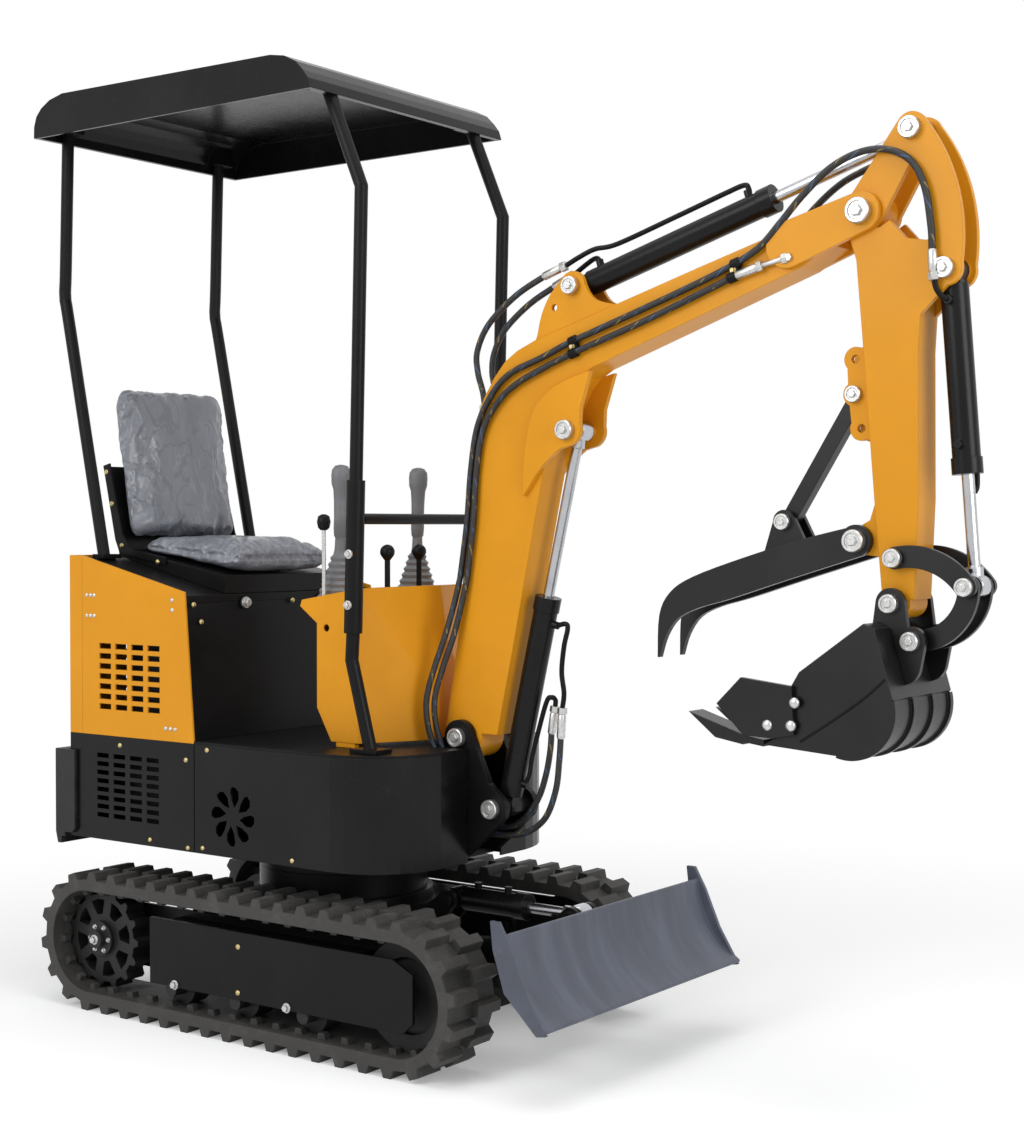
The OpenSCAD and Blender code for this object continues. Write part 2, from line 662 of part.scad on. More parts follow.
// Bent roof panel with pockets for the posts
function roof_line(d) = [[-752 + d, roof_top - 104 - 3 * d], [-751 + d, roof_top - 74 - d / 2],
  [-742 + d * 0.9, roof_top - 48 - d * 0.7], [-722 + d * 0.7, roof_top - 28 - d * 0.9],
    [-690 + d / 2, roof_top - 11 - d], [-640, roof_top - d],
  [100, roof_top - 10 - d], [145 - d / 3, roof_top - 18 - d], [182 - d / 2, roof_top - 36 - d * 0.9],
  [206 - d * 0.8, roof_top - 60 - d * 0.7], [222 - d, roof_top - 80 - d / 2],
    [230 - d, roof_top - 104 - 3 * d]];
module canopy_roof() color("#1d1d20") slewed() difference() {
  union() {
    difference() {
      mid(2 * roof_hw) polygon(roof_line(0));
      mid(2 * roof_hw - 16) polygon(roof_line(roof_t));
    }
    intersection() {
      mid(2 * roof_hw) polygon(roof_line(0));
      for (p = [front_post[5], rear_post[2]]) both() translate([p.x - 30, -post_y - 30,
        p.y - 18]) cube([60, 60, 90]);
    }
  }
  both() tube(front_post, -post_y, post_r + gap);
  both() tube(rear_post, -post_y, post_r + gap);
}

// Boom

module boom_2d() polygon([foot + [-56, 10], foot + [-18, 233], foot + [14, 520], foot + [24, 690],
  foot + [38, 763],
  foot + [62, 815], foot + [92, 861], foot + [124, 898], foot + [160, 922], foot + [214, 945],
    tip + [-390, -82],
  tip + [-90, 6], tip + [-70, -62], tip + [-144, -104], foot + [374, 873], foot + [340, 853],
    foot + [314, 825],
  foot + [292, 786], foot + [236, 640], foot + [146, 216], foot + [100, 10]]);
module boom() color("#e09a1c") slewed() difference() {
  union() {
    difference() {
      union() {
        mid(2 * boom_hw) difference() {
          boom_2d();
          disc(tip, 90);
        }
        bar(foot, 54, -boom_hw, boom_hw);
      }
      mid(2 * eye_hw + 14) capsule(lift_eye, lift_eye + [30, -60], 50, 80);
      bar(foot, pin_r + fit, -100, 100);
    }
    pair(-boom_hw - lug_t, lug_t + 1) {
      disc(lift_eye, 38);
      polygon([for (p = concat(
        way([[-126, -150], [-120, -50], [-99, 40], [-58, 88], [0, 116], [66, 134]], 3), [[52, 92],
          [38, 50], [36, 8],
        [10, -36]], way([[-20, -44], [-70, -84], [-122, -150]], 3))) lift_eye + p]);
    }
    pair(-boom_hw - lug_t, lug_t) capsule(tip, tip + [-170, -54], 42, 50);
    bar(tip, pin_r, -boom_hw - lug_t - 14, boom_hw + lug_t + 14);
    both() bar(lift_eye, pin_r, -boom_hw - lug_t - 14, -eye_hw - run);
  }
}
// Ears on the boom's back for the arm cylinder, with a hole to lift the machine by
module boom_ears() color("#e09a1c") slewed() {
  pair(-boom_hw + 4, 12) difference() {
    union() {
      polygon(concat([foot + [208, 935]], way([foot + [216, 958], foot + [228, 1004], foot + [252, 1048],
        arm_foot + [-26, 22]], 3), way([arm_foot + [30, 16], foot + [356, 1052], foot + [376, 1030],
        foot + [410, 1018], foot + [470, 1008]], 3), [foot + [440, 965]]));
      disc(arm_foot, 34);
    }
    boom_2d();
    disc(foot + [264, 1017], lift_hole_r);
  }
  bar(arm_foot, pin_r, -boom_hw - 12, boom_hw + 12);
  both() bar(arm_foot, 24, -boom_hw + 12, -eye_hw - run);
}
// Two hoses held along the boom's right side
hose_r = 8.5;
module boom_hoses() color("#141416") slewed() for (k = [0, 1])
  hose([for (p = [foot + [-24 + 20 * k, 250], foot + [16 + 20 * k, 600], foot + [96 + 16 * k, 850 - 14 * k],
    foot + [300, 930 - 20 * k], tip + [-350, -105 - 20 * k]]) [p.x, -boom_hw - hose_r - gap, p.y]], hose_r);

// Stick

module stick_2d() {
  polygon([tip + [-40, -20], tip + [-15, -98], tip + [0, -265], tip + [28, -598], bucket_pin + [-30, 6],
    bucket_pin + [40, 8], tip + [126, -598], tip + [124, -293], tip + [130, -190], tip + [60, -40]]);
}
module stick() color("#e09a1c") slewed() difference() {
  union() {
    mid(2 * stick_hw) stick_2d();
    bar(tip, 45, -stick_hw, stick_hw);
    bar(bucket_pin, 32, -stick_hw, stick_hw);
    pair(-stick_hw, 13) {
      capsule(tip, arm_eye, 45, 34);
      arc_band(arm_eye, dig_foot, 32, 66);
      disc(dig_foot, 36);
      polygon([tip + [20, -45], tip + [60, -22], tip + [96, -62], dig_foot + [-40, 60], dig_foot + [-10,
        70],
        dig_foot + [10, -30], tip + [128, -220], tip + [60, -100]]);
    }
    pair(-38, 16) {
      polygon([tip + [32, -590], tip + [16, -640], thumb_pin + [-18, 20], thumb_pin + [0, -28],
        bucket_pin + [-35, 95], tip + [60, -700], tip + [60, -590]]);
      disc(thumb_pin, 28);
    }
    bar(guide_pin, pin_r, -stick_hw - 30, stick_hw + 30);
    bar(dig_foot, pin_r, -stick_hw - 14, stick_hw + 14);
    both() bar(dig_foot, 24, -stick_hw + 1, -eye_hw - run);
    both() bar(arm_eye, pin_r, -stick_hw - 14, -eye_hw - run);
  }
  bar(tip, pin_r + fit, -100, 100);
  bar(bucket_pin, pin_r + fit, -100, 100);
  bar(thumb_pin, pin_r + fit, -100, 100);
}

// Ears on the stick's back with three holes for the strut
module strut_ears() color("#e09a1c") slewed() pair(-30, 12) difference() {
  union() {
    for (p = strut_holes) disc(p, 26);
    polygon([strut_holes[0] + [-20, 10], strut_holes[0] + [25, 28], strut_holes[2] + [30, -28],
      strut_holes[2] + [-20, -16], strut_holes[1] + [-14, 0]]);
  }
  stick_2d();
  for (p = strut_holes) disc(p, strut_hole_r + fit);
}
module thumb_strut() color("#1b1b1d") slewed() {
  mid(28) capsule(thumb_lug, strut_pin, 17, 17);
  bar(strut_pin, strut_hole_r, -42, 42);
  bar(thumb_lug, strut_hole_r, -42, 42);
}
// Two hooked tines on a common tube with a lug for the strut
module thumb() color("#1b1b1d") slewed() {
  pair(-56, 16) {
    disc(thumb_pin, 34);
    polygon([for (p = concat(
      way([[8, 33], [-120, 4], [-260, -36], [-390, -80], [-450, -116], [-478, -168], [-482, -262]], 4),
      way([[-478, -262], [-462, -215], [-432, -175], [-380, -150], [-300, -128], [-160, -84], [8, -33]],
        4)))
      thumb_pin + p]);
  }
  bar(thumb_pin, pin_r, -66, 66);
  mid(84) polygon([for (p = [[-110, -20], [-250, -62], [-254, -84], [-106, -42]]) thumb_pin + p]);
  pair(-30, 12) difference() {
    union() {
      disc(thumb_lug, 26);
      polygon([thumb_lug + [-26, 0], thumb_pin + [-240, -64], thumb_pin + [-116, -28],
        thumb_lug + [22, 14]]);
    }
    disc(thumb_lug, strut_hole_r + fit);
  }
}

// Bucket and its links

module guide_links() color("#161618") slewed() {
  pair(-stick_hw - 13, 11) difference() {
    arc_band(guide_pin, link_pin, 24, 46);
    disc(guide_pin, pin_r + fit);
  }
  both() bar(link_pin, pin_r, -stick_hw - 22, -eye_hw - run);
}
module bucket_links() color("#161618") slewed() pair(-40, 12) difference() {
  arc_band(link_pin, hook_pin, 32, 44);
  disc(link_pin, pin_r + fit);
}

bucket_c = bucket_pin + [-55, -218];
bucket_r = 96;
module bucket_2d(t) {
  polygon([bucket_pin + [-24, -39], bucket_pin + [-169, -144], bucket_pin + [-192, -182],
    bucket_pin + [-221, -283],
    bucket_pin + [-251, -300 + t], bucket_c + [0, -bucket_r + t], bucket_c + [bucket_r - t, 28],
    bucket_pin + [-t, -50]]);
  disc(bucket_c, bucket_r - t);
}
module bucket_shell() color("#161618") slewed() {
  mid(2 * bucket_hw) difference() {
    bucket_2d(0);
    bucket_2d(bucket_t);
  }
  pair(-bucket_hw, bucket_t) bucket_2d(0);
  for (y = [-bucket_hw, -bucket_hw / 3 - 7, bucket_hw / 3 - 7, bucket_hw - 14]) side(y, 14) intersection() {
    difference() {
      disc(bucket_c, bucket_r + 6);
      disc(bucket_c, bucket_r - 2);
    }
    polygon([bucket_c, bucket_c + [-60, -200], bucket_c + [200, -200], bucket_c + [200, 50]]);
  }
}
module bucket_ears() color("#161618") slewed() {
  pair(-72, 13) difference() {
    union() {
      capsule(bucket_pin, bucket_pin + [0, -60], 32, 40);
      capsule(hook_pin, hook_pin + [-20, -50], 30, 40);
    }
    bucket_2d(-gap);
  }
  bar(bucket_pin, pin_r, -84, 84);
  both() bar(hook_pin, pin_r, -84, -42);
}
// Lip with three teeth welded on it
module bucket_lip() color("#161618") slewed() {
  mid(2 * bucket_hw) polygon([for (p = [[-372, -275], [-362, -290], [-251 - gap, -304], [-251 - gap, -290],
    [-356, -274]]) bucket_pin + p]);
  for (y = [-bucket_hw, -30, bucket_hw - 60]) side(y, 60)
    polygon([for (p = [[-434, -240], [-368, -292], [-300, -303], [-300, -282],
      [-350, -266]]) bucket_pin + p]);
}
module side_cutters() color("#161618") slewed() pair(-bucket_hw - 12 - gap, 12)
  polygon([for (p = [[-300, -160], [-180, -173], [-175, -274], [-229, -284], [-293, -282], [-358, -218]])
    bucket_pin + p]);

centre_frame();
slew_ring();
track_frame_right();
track_frame_left();
track_right();
track_left();
drive_sprockets();
idlers();
track_rollers();
travel_motors();
blade_board();
blade_arms();
blade_barrel();
blade_rod();
deck_frame();
boom_bracket();
side_panel_right();
side_panel_left();
lower_cover_right();
lower_cover_left();
counterweight();
engine_cover_right();
engine_cover_left();
engine_cover_rear();
engine_deck();
engine_block();
seat_box();
floor_plate();
front_hood();
seat_frame();
seat_cushion();
seat_back();
joysticks();
travel_levers();
front_posts();
rear_posts();
crossbar();
canopy_roof();
boom();
boom_ears();
boom_hoses();
lift_barrel();
lift_rod();
arm_barrel();
arm_rod();
stick();
thumb();
thumb_strut();
strut_ears();
dig_barrel();
dig_rod();
guide_links();
bucket_links();
bucket_shell();
bucket_ears();
bucket_lip();
side_cutters();
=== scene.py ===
"""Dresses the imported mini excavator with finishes, padding, hoses and fasteners, and sets its stage."""

import json
import math

import bmesh
import bpy
from bpy.props import FloatProperty, FloatVectorProperty, IntProperty, PointerProperty
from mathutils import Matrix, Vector, noise


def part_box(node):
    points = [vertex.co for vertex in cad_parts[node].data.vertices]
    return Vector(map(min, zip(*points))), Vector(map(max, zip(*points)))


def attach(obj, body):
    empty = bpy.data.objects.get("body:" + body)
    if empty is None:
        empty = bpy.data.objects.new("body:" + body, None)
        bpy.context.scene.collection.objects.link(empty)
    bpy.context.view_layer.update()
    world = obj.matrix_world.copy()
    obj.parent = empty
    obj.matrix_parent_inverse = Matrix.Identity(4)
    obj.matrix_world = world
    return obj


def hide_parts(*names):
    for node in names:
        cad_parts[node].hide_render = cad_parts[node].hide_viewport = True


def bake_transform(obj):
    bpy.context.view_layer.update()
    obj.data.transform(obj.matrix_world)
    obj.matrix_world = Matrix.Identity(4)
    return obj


bl_info = {
    "name": "Mini excavator dressing",
    "version": (1, 0, 0),
    "blender": (4, 5, 0),
    "location": "3D View > Sidebar > Excavator",
    "description": "Finishes, padding, hoses and fasteners for a mini excavator",
    "category": "Object",
}

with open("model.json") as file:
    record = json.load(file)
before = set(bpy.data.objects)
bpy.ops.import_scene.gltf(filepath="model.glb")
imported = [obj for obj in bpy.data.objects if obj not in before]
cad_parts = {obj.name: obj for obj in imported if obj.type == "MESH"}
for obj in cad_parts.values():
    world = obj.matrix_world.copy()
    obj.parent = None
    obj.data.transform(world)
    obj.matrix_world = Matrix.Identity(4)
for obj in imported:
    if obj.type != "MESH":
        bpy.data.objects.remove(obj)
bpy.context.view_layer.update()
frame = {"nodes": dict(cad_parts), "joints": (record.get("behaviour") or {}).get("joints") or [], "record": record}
PINS = {j["name"]: Vector(j["pos_m"]) for j in frame["joints"] if "pos_m" in j}
SLEW_X = PINS["slew"].x
MM = 0.001


def at(x, y, z):
    """Point in the row frame from millimetres off the slew axis."""
    return Vector((SLEW_X + x * MM, y * MM, z * MM))


def route(y, pairs):
    """Points in one upright plane."""
    return [at(x, y, z) for x, z in pairs]


# Settings a user would change

class FinishSettings(bpy.types.PropertyGroup):
    """Colours of the finishes"""
    yellow: FloatVectorProperty(
        name="Yellow paint", description="Paint of the boom, stick, hood and engine covers",
        subtype="COLOR", default=(0.76, 0.315, 0.012))
    black: FloatVectorProperty(
        name="Black paint", description="Paint of the house, canopy and bucket",
        subtype="COLOR", default=(0.0055, 0.0055, 0.006))
    slate: FloatVectorProperty(
        name="Slate paint", description="Paint of the blade's board",
        subtype="COLOR", default=(0.085, 0.095, 0.126))
    rubber: FloatVectorProperty(
        name="Track rubber", description="Rubber of the tracks",
        subtype="COLOR", default=(0.048, 0.046, 0.044))
    vinyl: FloatVectorProperty(
        name="Seat vinyl", description="Vinyl of the seat under its clear wrap",
        subtype="COLOR", default=(0.205, 0.216, 0.248))
    grip: FloatVectorProperty(
        name="Grip plastic", description="Moulded plastic of the joysticks",
        subtype="COLOR", default=(0.17, 0.175, 0.185))


class DetailSettings(bpy.types.PropertyGroup):
    """Sizes of the added pieces"""
    hose_radius: FloatProperty(
        name="Hose radius", description="Outer radius of a hydraulic hose", unit="LENGTH", default=0.0075)
    line_radius: FloatProperty(
        name="Steel line radius", description="Radius of a rigid oil line", unit="LENGTH", default=0.006)
    cap_radius: FloatProperty(
        name="Pin cap radius", description="Radius of the cap on a pin's end", unit="LENGTH", default=0.021)
    hose_sides: IntProperty(
        name="Hose sides", description="Corners around a hose", default=14)
    wrinkle: FloatProperty(
        name="Wrinkle depth", description="Depth of the creases in the seat's wrap", unit="LENGTH",
        default=0.0035)


# Shader maths

class Wire:
    """A shader socket that does sums."""

    def __init__(self, tree, socket):
        self.tree, self.socket = tree, socket

    def sum(self, how, a, b):
        return self.tree.node("ShaderNodeMath", {"operation": how}, {0: a, 1: b})

    def __add__(self, other):
        return self.sum("ADD", self, other)

    def __radd__(self, other):
        return self.sum("ADD", other, self)

    def __sub__(self, other):
        return self.sum("SUBTRACT", self, other)

    def __rsub__(self, other):
        return self.sum("SUBTRACT", other, self)

    def __mul__(self, other):
        return self.sum("MULTIPLY", self, other)

    def __rmul__(self, other):
        return self.sum("MULTIPLY", other, self)

    def __pow__(self, other):
        return self.sum("POWER", self, other)

    def between(self, low, high):
        """0 below low, 1 above high, smooth between."""
        return self.tree.node("ShaderNodeMapRange", {"interpolation_type": "SMOOTHSTEP"},
                              {"Value": self, "From Min": low, "From Max": high})


class Finish:
    """A material whose nodes come from one method."""

    def __init__(self, name):
        self.material = bpy.data.materials.get(name)
        if self.material:
            bpy.data.materials.remove(self.material)
        self.material = bpy.data.materials.new(name)
        self.material.use_nodes = True
        self.nodes = self.material.node_tree.nodes
        self.links = self.material.node_tree.links
        self.nodes.clear()

    def node(self, kind, settings=None, inputs=None, out=0):
        made = self.nodes.new(kind)
        for key, value in (settings or {}).items():
            if key == "stops":
                ramp = made.color_ramp.elements
                while len(ramp) < len(value):
                    ramp.new(0.5)
                for stop, (place, shade) in zip(ramp, value):
                    stop.position, stop.color = place, (*shade, 1.0)
            else:
                setattr(made, key, value)
        for key, value in (inputs or {}).items():
            if isinstance(value, Wire):
                self.links.new(value.socket, made.inputs[key])
            else:
                made.inputs[key].default_value = value
        return Wire(self, made.outputs[out]) if made.outputs else None

    def place(self, scale=(1, 1, 1)):
        spot = self.node("ShaderNodeTexCoord", out=3)
        return self.node("ShaderNodeMapping", inputs={"Vector": spot, "Scale": scale})

    def grain(self, scale, detail=3.0, rough=0.5, stretch=(1, 1, 1), warp=0.0):
        return self.node("ShaderNodeTexNoise", inputs={
            "Vector": self.place(stretch), "Scale": scale, "Detail": detail, "Roughness": rough,
            "Distortion": warp})

    def tint(self, mask, first, second):
        return self.node("ShaderNodeMix", {"data_type": "RGBA"}, {
            "Factor": mask, 6: (*first, 1.0) if not isinstance(first, Wire) else first,
            7: (*second, 1.0) if not isinstance(second, Wire) else second}, out=2)

    def soft_edge(self, radius):
        return self.node("ShaderNodeBevel", {"samples": 4}, {"Radius": radius})

    def bump(self, height, depth, strength=1.0, normal=None):
        inputs = {"Height": height, "Distance": depth, "Strength": strength}
        if normal:
            inputs["Normal"] = normal
        return self.node("ShaderNodeBump", inputs=inputs)

    def done(self, colour, roughness, normal=None, metallic=0.0, coat=0.0, coat_rough=0.08, level=0.5):
        inputs = {"Base Color": (*colour, 1.0) if not isinstance(colour, Wire) else colour,
                  "Roughness": roughness, "Metallic": metallic, "Coat Weight": coat,
                  "Coat Roughness": coat_rough, "Specular IOR Level": level}
        if normal:
            inputs["Normal"] = normal
        surface = self.node("ShaderNodeBsdfPrincipled", inputs=inputs)
        self.node("ShaderNodeOutputMaterial", inputs={"Surface": surface})
        return self.material


def settings():
    return bpy.context.scene.excavator_finish, bpy.context.scene.excavator_detail


def shade(colour, factor):
    return tuple(min(1.0, c * factor) for c in colour)


# Finishes

def gloss_yellow():
    """Two-pack paint with faint orange peel and dust in patches."""
    f, colour = Finish("gloss_yellow"), tuple(settings()[0].yellow)
    cloud = f.grain(3.5, 4.0, 0.55).between(0.35, 0.75)
    dust = f.grain(26.0, 5.0, 0.65).between(0.55, 0.8)
    body = f.tint(cloud, shade(colour, 0.95), shade(colour, 1.06))
    body = f.tint(dust * 0.08, body, (0.66, 0.36, 0.08))
    peel = f.grain(420.0, 2.0)
    normal = f.bump(peel, 0.0004, 0.25, f.soft_edge(0.0035))
    return f.done(body, 0.34 + dust * 0.16 + cloud * 0.05, normal, coat=0.06, coat_rough=0.1, level=0.16)


def satin_black(name="satin_black", colour=None, rough=0.33, coat=0.02, level=0.13):
    """Powder coat with a fine texture and a little dust."""
    f = Finish(name)
    colour = colour or tuple(settings()[0].black)
    cloud = f.grain(5.0, 4.0, 0.6).between(0.3, 0.75)
    dust = f.grain(34.0, 6.0, 0.7).between(0.56, 0.84)
    body = f.tint(cloud, shade(colour, 0.8), shade(colour, 1.35))
    body = f.tint(dust * 0.07, body, (0.09, 0.087, 0.085))
    peel = f.grain(900.0, 2.0)
    normal = f.bump(peel, 0.0004, 0.3, f.soft_edge(0.003))
    return f.done(body, rough + cloud * 0.08 + dust * 0.15, normal, coat=coat, coat_rough=0.2, level=level)


def slate_paint():
    """Brushed-on slate paint with upright scuffs."""
    f, colour = Finish("slate_paint"), tuple(settings()[0].slate)
    smear = f.grain(7.0, 5.0, 0.6, (0.6, 3.0, 0.6)).between(0.3, 0.8)
    scuff = f.grain(60.0, 4.0, 0.7, (0.25, 2.2, 0.25)).between(0.6, 0.75)
    body = f.tint(smear, shade(colour, 0.78), shade(colour, 1.3))
    body = f.tint(scuff * 0.3, body, (0.16, 0.17, 0.185))
    normal = f.bump(f.grain(500.0, 2.0), 0.0005, 0.3, f.soft_edge(0.003))
    return f.done(body, 0.36 + smear * 0.12, normal, coat=0.1, coat_rough=0.2, level=0.35)


def track_rubber():
    """Dull rubber with pale dust on the high places."""
    f, colour = Finish("track_rubber"), tuple(settings()[0].rubber)
    dust = f.grain(18.0, 6.0, 0.7).between(0.45, 0.8)
    speck = f.grain(160.0, 3.0, 0.6).between(0.5, 0.8)
    body = f.tint(dust * 0.6, shade(colour, 0.8), (0.115, 0.108, 0.098))
    body = f.tint(speck * 0.25, body, (0.11, 0.10, 0.09))
    normal = f.bump(f.grain(240.0, 4.0, 0.6), 0.0012, 0.5, f.soft_edge(0.004))
    return f.done(body, 0.62 + dust * 0.2, normal, level=0.4)


def black_casting():
    """Painted casting with a sand-like skin."""
    f = Finish("black_casting")
    cloud = f.grain(9.0, 4.0).between(0.3, 0.8)
    body = f.tint(cloud, (0.010, 0.010, 0.011), (0.026, 0.0255, 0.025))
    normal = f.bump(f.grain(320.0, 3.0, 0.6), 0.0008, 0.5, f.soft_edge(0.003))
    return f.done(body, 0.45 + cloud * 0.2, normal, level=0.3)


def hard_chrome():
    """Ground chrome with a thin oil film."""
    f = Finish("hard_chrome")
    film = f.grain(30.0, 4.0, 0.6, (1, 1, 0.4)).between(0.4, 0.8)
    body = f.tint(film, (0.50, 0.51, 0.53), (0.40, 0.41, 0.43))
    normal = f.bump(f.grain(900.0), 0.0002, 0.1, f.soft_edge(0.006))
    return f.done(body, 0.14 + film * 0.10, normal, metallic=1.0)


def zinc_steel():
    """Plated steel of pin caps, bolts and fittings."""
    f = Finish("zinc_steel")
    spangle = f.grain(180.0, 4.0, 0.6).between(0.3, 0.75)
    body = f.tint(spangle, (0.66, 0.66, 0.65), (0.44, 0.44, 0.43))
    normal = f.bump(f.grain(700.0, 2.0), 0.0004, 0.3, f.soft_edge(0.0015))
    return f.done(body, 0.26 + spangle * 0.16, normal, metallic=0.92)


def brass_zinc():
    """Yellow passivated screws."""
    f = Finish("brass_zinc")
    spangle = f.grain(220.0, 3.0).between(0.3, 0.7)
    body = f.tint(spangle, (0.62, 0.50, 0.24), (0.42, 0.33, 0.15))
    return f.done(body, 0.3 + spangle * 0.15, metallic=0.9)


def hose_rubber():
    """Braided hose cover with a spiral mark of two faint colours."""
    f = Finish("hose_rubber")
    spot = f.node("ShaderNodeUVMap", {"uv_map": "run"})
    split = f.node("ShaderNodeSeparateXYZ", inputs={"Vector": spot})
    around = Wire(f, split.socket.node.outputs["Y"])
    turn = f.node("ShaderNodeMath", {"operation": "FRACT"}, {0: split * 9.0 + around})
    gold = turn.between(0.42, 0.46) * (1 - turn.between(0.50, 0.54))
    blue = turn.between(0.88, 0.90) * (1 - turn.between(0.94, 0.96))
    broken = f.grain(60.0, 2.0).between(0.48, 0.56)
    body = f.tint(gold * broken * 0.75, (0.014, 0.014, 0.015), (0.30, 0.21, 0.06))
    body = f.tint(blue * (1 - broken) * 0.7, body, (0.05, 0.13, 0.28))
    braid = f.node("ShaderNodeMath", {"operation": "SINE"}, {0: split * 1900.0})
    normal = f.bump(braid, 0.0004, 0.4)
    return f.done(body, 0.48 + broken * 0.08, normal)


def wrapped_vinyl():
    """Grey vinyl under creased clear film, with painted highlight streaks and glints and painted shade along the
    creases.
    """
    f, colour = Finish("wrapped_vinyl"), tuple(settings()[0].vinyl)

    def lines(field, width):
        """Thin lines where a field passes its middle."""
        off = field - 0.5
        return 1 - (off * off).between(0.0, width * width)

    fold = f.grain(7.0, 3.0, 0.5, (1.0, 1.0, 0.45), 0.8)
    broken = f.grain(6.0, 2.0).between(0.42, 0.62)
    # painted highlights on the film: pale streak lines in some patches, glint lines in the others
    painted_highlight_streak = lines(f.grain(13.0, 2.5, 0.5, (1.0, 1.1, 0.5), 1.4), 0.020) * broken
    glint = lines(f.grain(34.0, 2.0, 0.5, (1.0, 1.0, 0.6), 1.0), 0.030) * (1 - broken)
    # painted shade: dark lines where the wrap's creases fall in shade
    painted_crease_shade = lines(f.grain(9.0, 3.0, 0.55, (0.8, 1.0, 0.7), 1.0), 0.028)
    body = f.tint(fold.between(0.32, 0.68), shade(colour, 0.84), shade(colour, 1.14))
    # painted shade: darkens the colour along the crease lines
    body = f.tint(painted_crease_shade * 0.30, body, shade(colour, 0.38))
    # painted highlights: pale tints along the glint and streak lines
    body = f.tint(glint * 0.10, body, (0.40, 0.42, 0.46))
    body = f.tint(painted_highlight_streak * 0.20, body, (0.56, 0.58, 0.62))
    normal = f.bump(fold * 0.8 + painted_highlight_streak * 0.25 - painted_crease_shade * 0.25 + glint * 0.10, 0.005, 0.5)
    return f.done(body, 0.42 - painted_highlight_streak * 0.15, normal, coat=0.55, coat_rough=0.14, level=0.4)


def moulded_grip():
    """Grey moulded plastic with a fine grain."""
    f, colour = Finish("moulded_grip"), tuple(settings()[0].grip)
    cloud = f.grain(18.0, 3.0).between(0.3, 0.75)
    body = f.tint(cloud, shade(colour, 0.85), shade(colour, 1.15))
    return f.done(body, 0.5 + cloud * 0.08, f.bump(f.grain(800.0, 2.0), 0.0004, 0.4))


def backdrop():
    """Pale floor that fades to white, keeping the object's shadow."""
    f = Finish("backdrop")
    spot = f.node("ShaderNodeTexCoord", out=3)
    far = f.node("ShaderNodeVectorMath", {"operation": "LENGTH"}, {0: spot}, out=1)
    light = f.node("ShaderNodeLightPath")
    seen = light.socket.node.outputs
    look = (Wire(f, seen["Is Camera Ray"]) + Wire(f, seen["Is Glossy Ray"])
            + Wire(f, seen["Is Transmission Ray"])).between(0.0, 1.0)
    plain = f.node("ShaderNodeBsdfDiffuse", inputs={"Color": (0.90, 0.90, 0.90, 1.0)})
    lift = f.node("ShaderNodeEmission", inputs={"Color": (1, 1, 1, 1), "Strength": 0.24})
    pale = f.node("ShaderNodeAddShader", inputs={0: plain, 1: lift})
    near = f.node("ShaderNodeMixShader", inputs={0: look, 1: plain, 2: pale})
    white = f.node("ShaderNodeEmission", inputs={"Color": (1, 1, 1, 1), "Strength": 1.0})
    mixed = f.node("ShaderNodeMixShader", inputs={0: far.between(1.4, 3.2) * look, 1: near, 2: white})
    f.node("ShaderNodeOutputMaterial", inputs={"Surface": mixed})
    return f.material


# Meshes

def piece(name, mesh, material, body=None, smooth=45.0):
    """Links a finished mesh, smooth but for its sharp edges, and lets it ride on a body."""
    item = bpy.data.objects.new(name, mesh)
    bpy.context.scene.collection.objects.link(item)
    mesh.materials.clear()
    mesh.materials.append(material)
    mesh.shade_smooth()
    mesh.set_sharp_from_angle(angle=math.radians(smooth))
    if body:
        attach(item, body)
    return item


def to_mesh(bm, name):
    mesh = bpy.data.meshes.new(name)
    bmesh.ops.recalc_face_normals(bm, faces=bm.faces)
    bm.to_mesh(mesh)
    bm.free()
    return mesh


def ring_loft(bm, rings):
    """Skins a row of closed rings and caps both ends."""
    made = [[bm.verts.new(p) for p in ring] for ring in rings]
    count = len(made[0])
    for low, high in zip(made, made[1:]):
        for i in range(count):
            j = (i + 1) % count
            bm.faces.new((low[i], low[j], high[j], high[i]))
    bm.faces.new(list(reversed(made[0])))
    bm.faces.new(made[-1])


def turned(bm, origin, direction, profile, sides=24, oval=1.0):
    """Lathe shape along a direction, from pairs of radius and height."""
    turn = Vector(direction).to_track_quat("Z", "Y").to_matrix()
    rings = []
    for r, h in profile:
        rings.append([Vector(origin) + turn @ Vector((
            r * math.cos(2 * math.pi * k / sides), r * oval * math.sin(2 * math.pi * k / sides), h))
            for k in range(sides)])
    ring_loft(bm, rings)


def smooth_way(points, steps):
    """Catmull-Rom way through points."""
    way = []
    for i in range(len(points) - 1):
        a, b = points[max(i - 1, 0)], points[i]
        c, d = points[i + 1], points[min(i + 2, len(points) - 1)]
        for k in range(steps):
            t = k / steps
            way.append((2 * b + (c - a) * t + (2 * a - 5 * b + 4 * c - d) * t * t
                        + (3 * b - a - 3 * c + d) * t ** 3) / 2)
    way.append(points[-1])
    return way


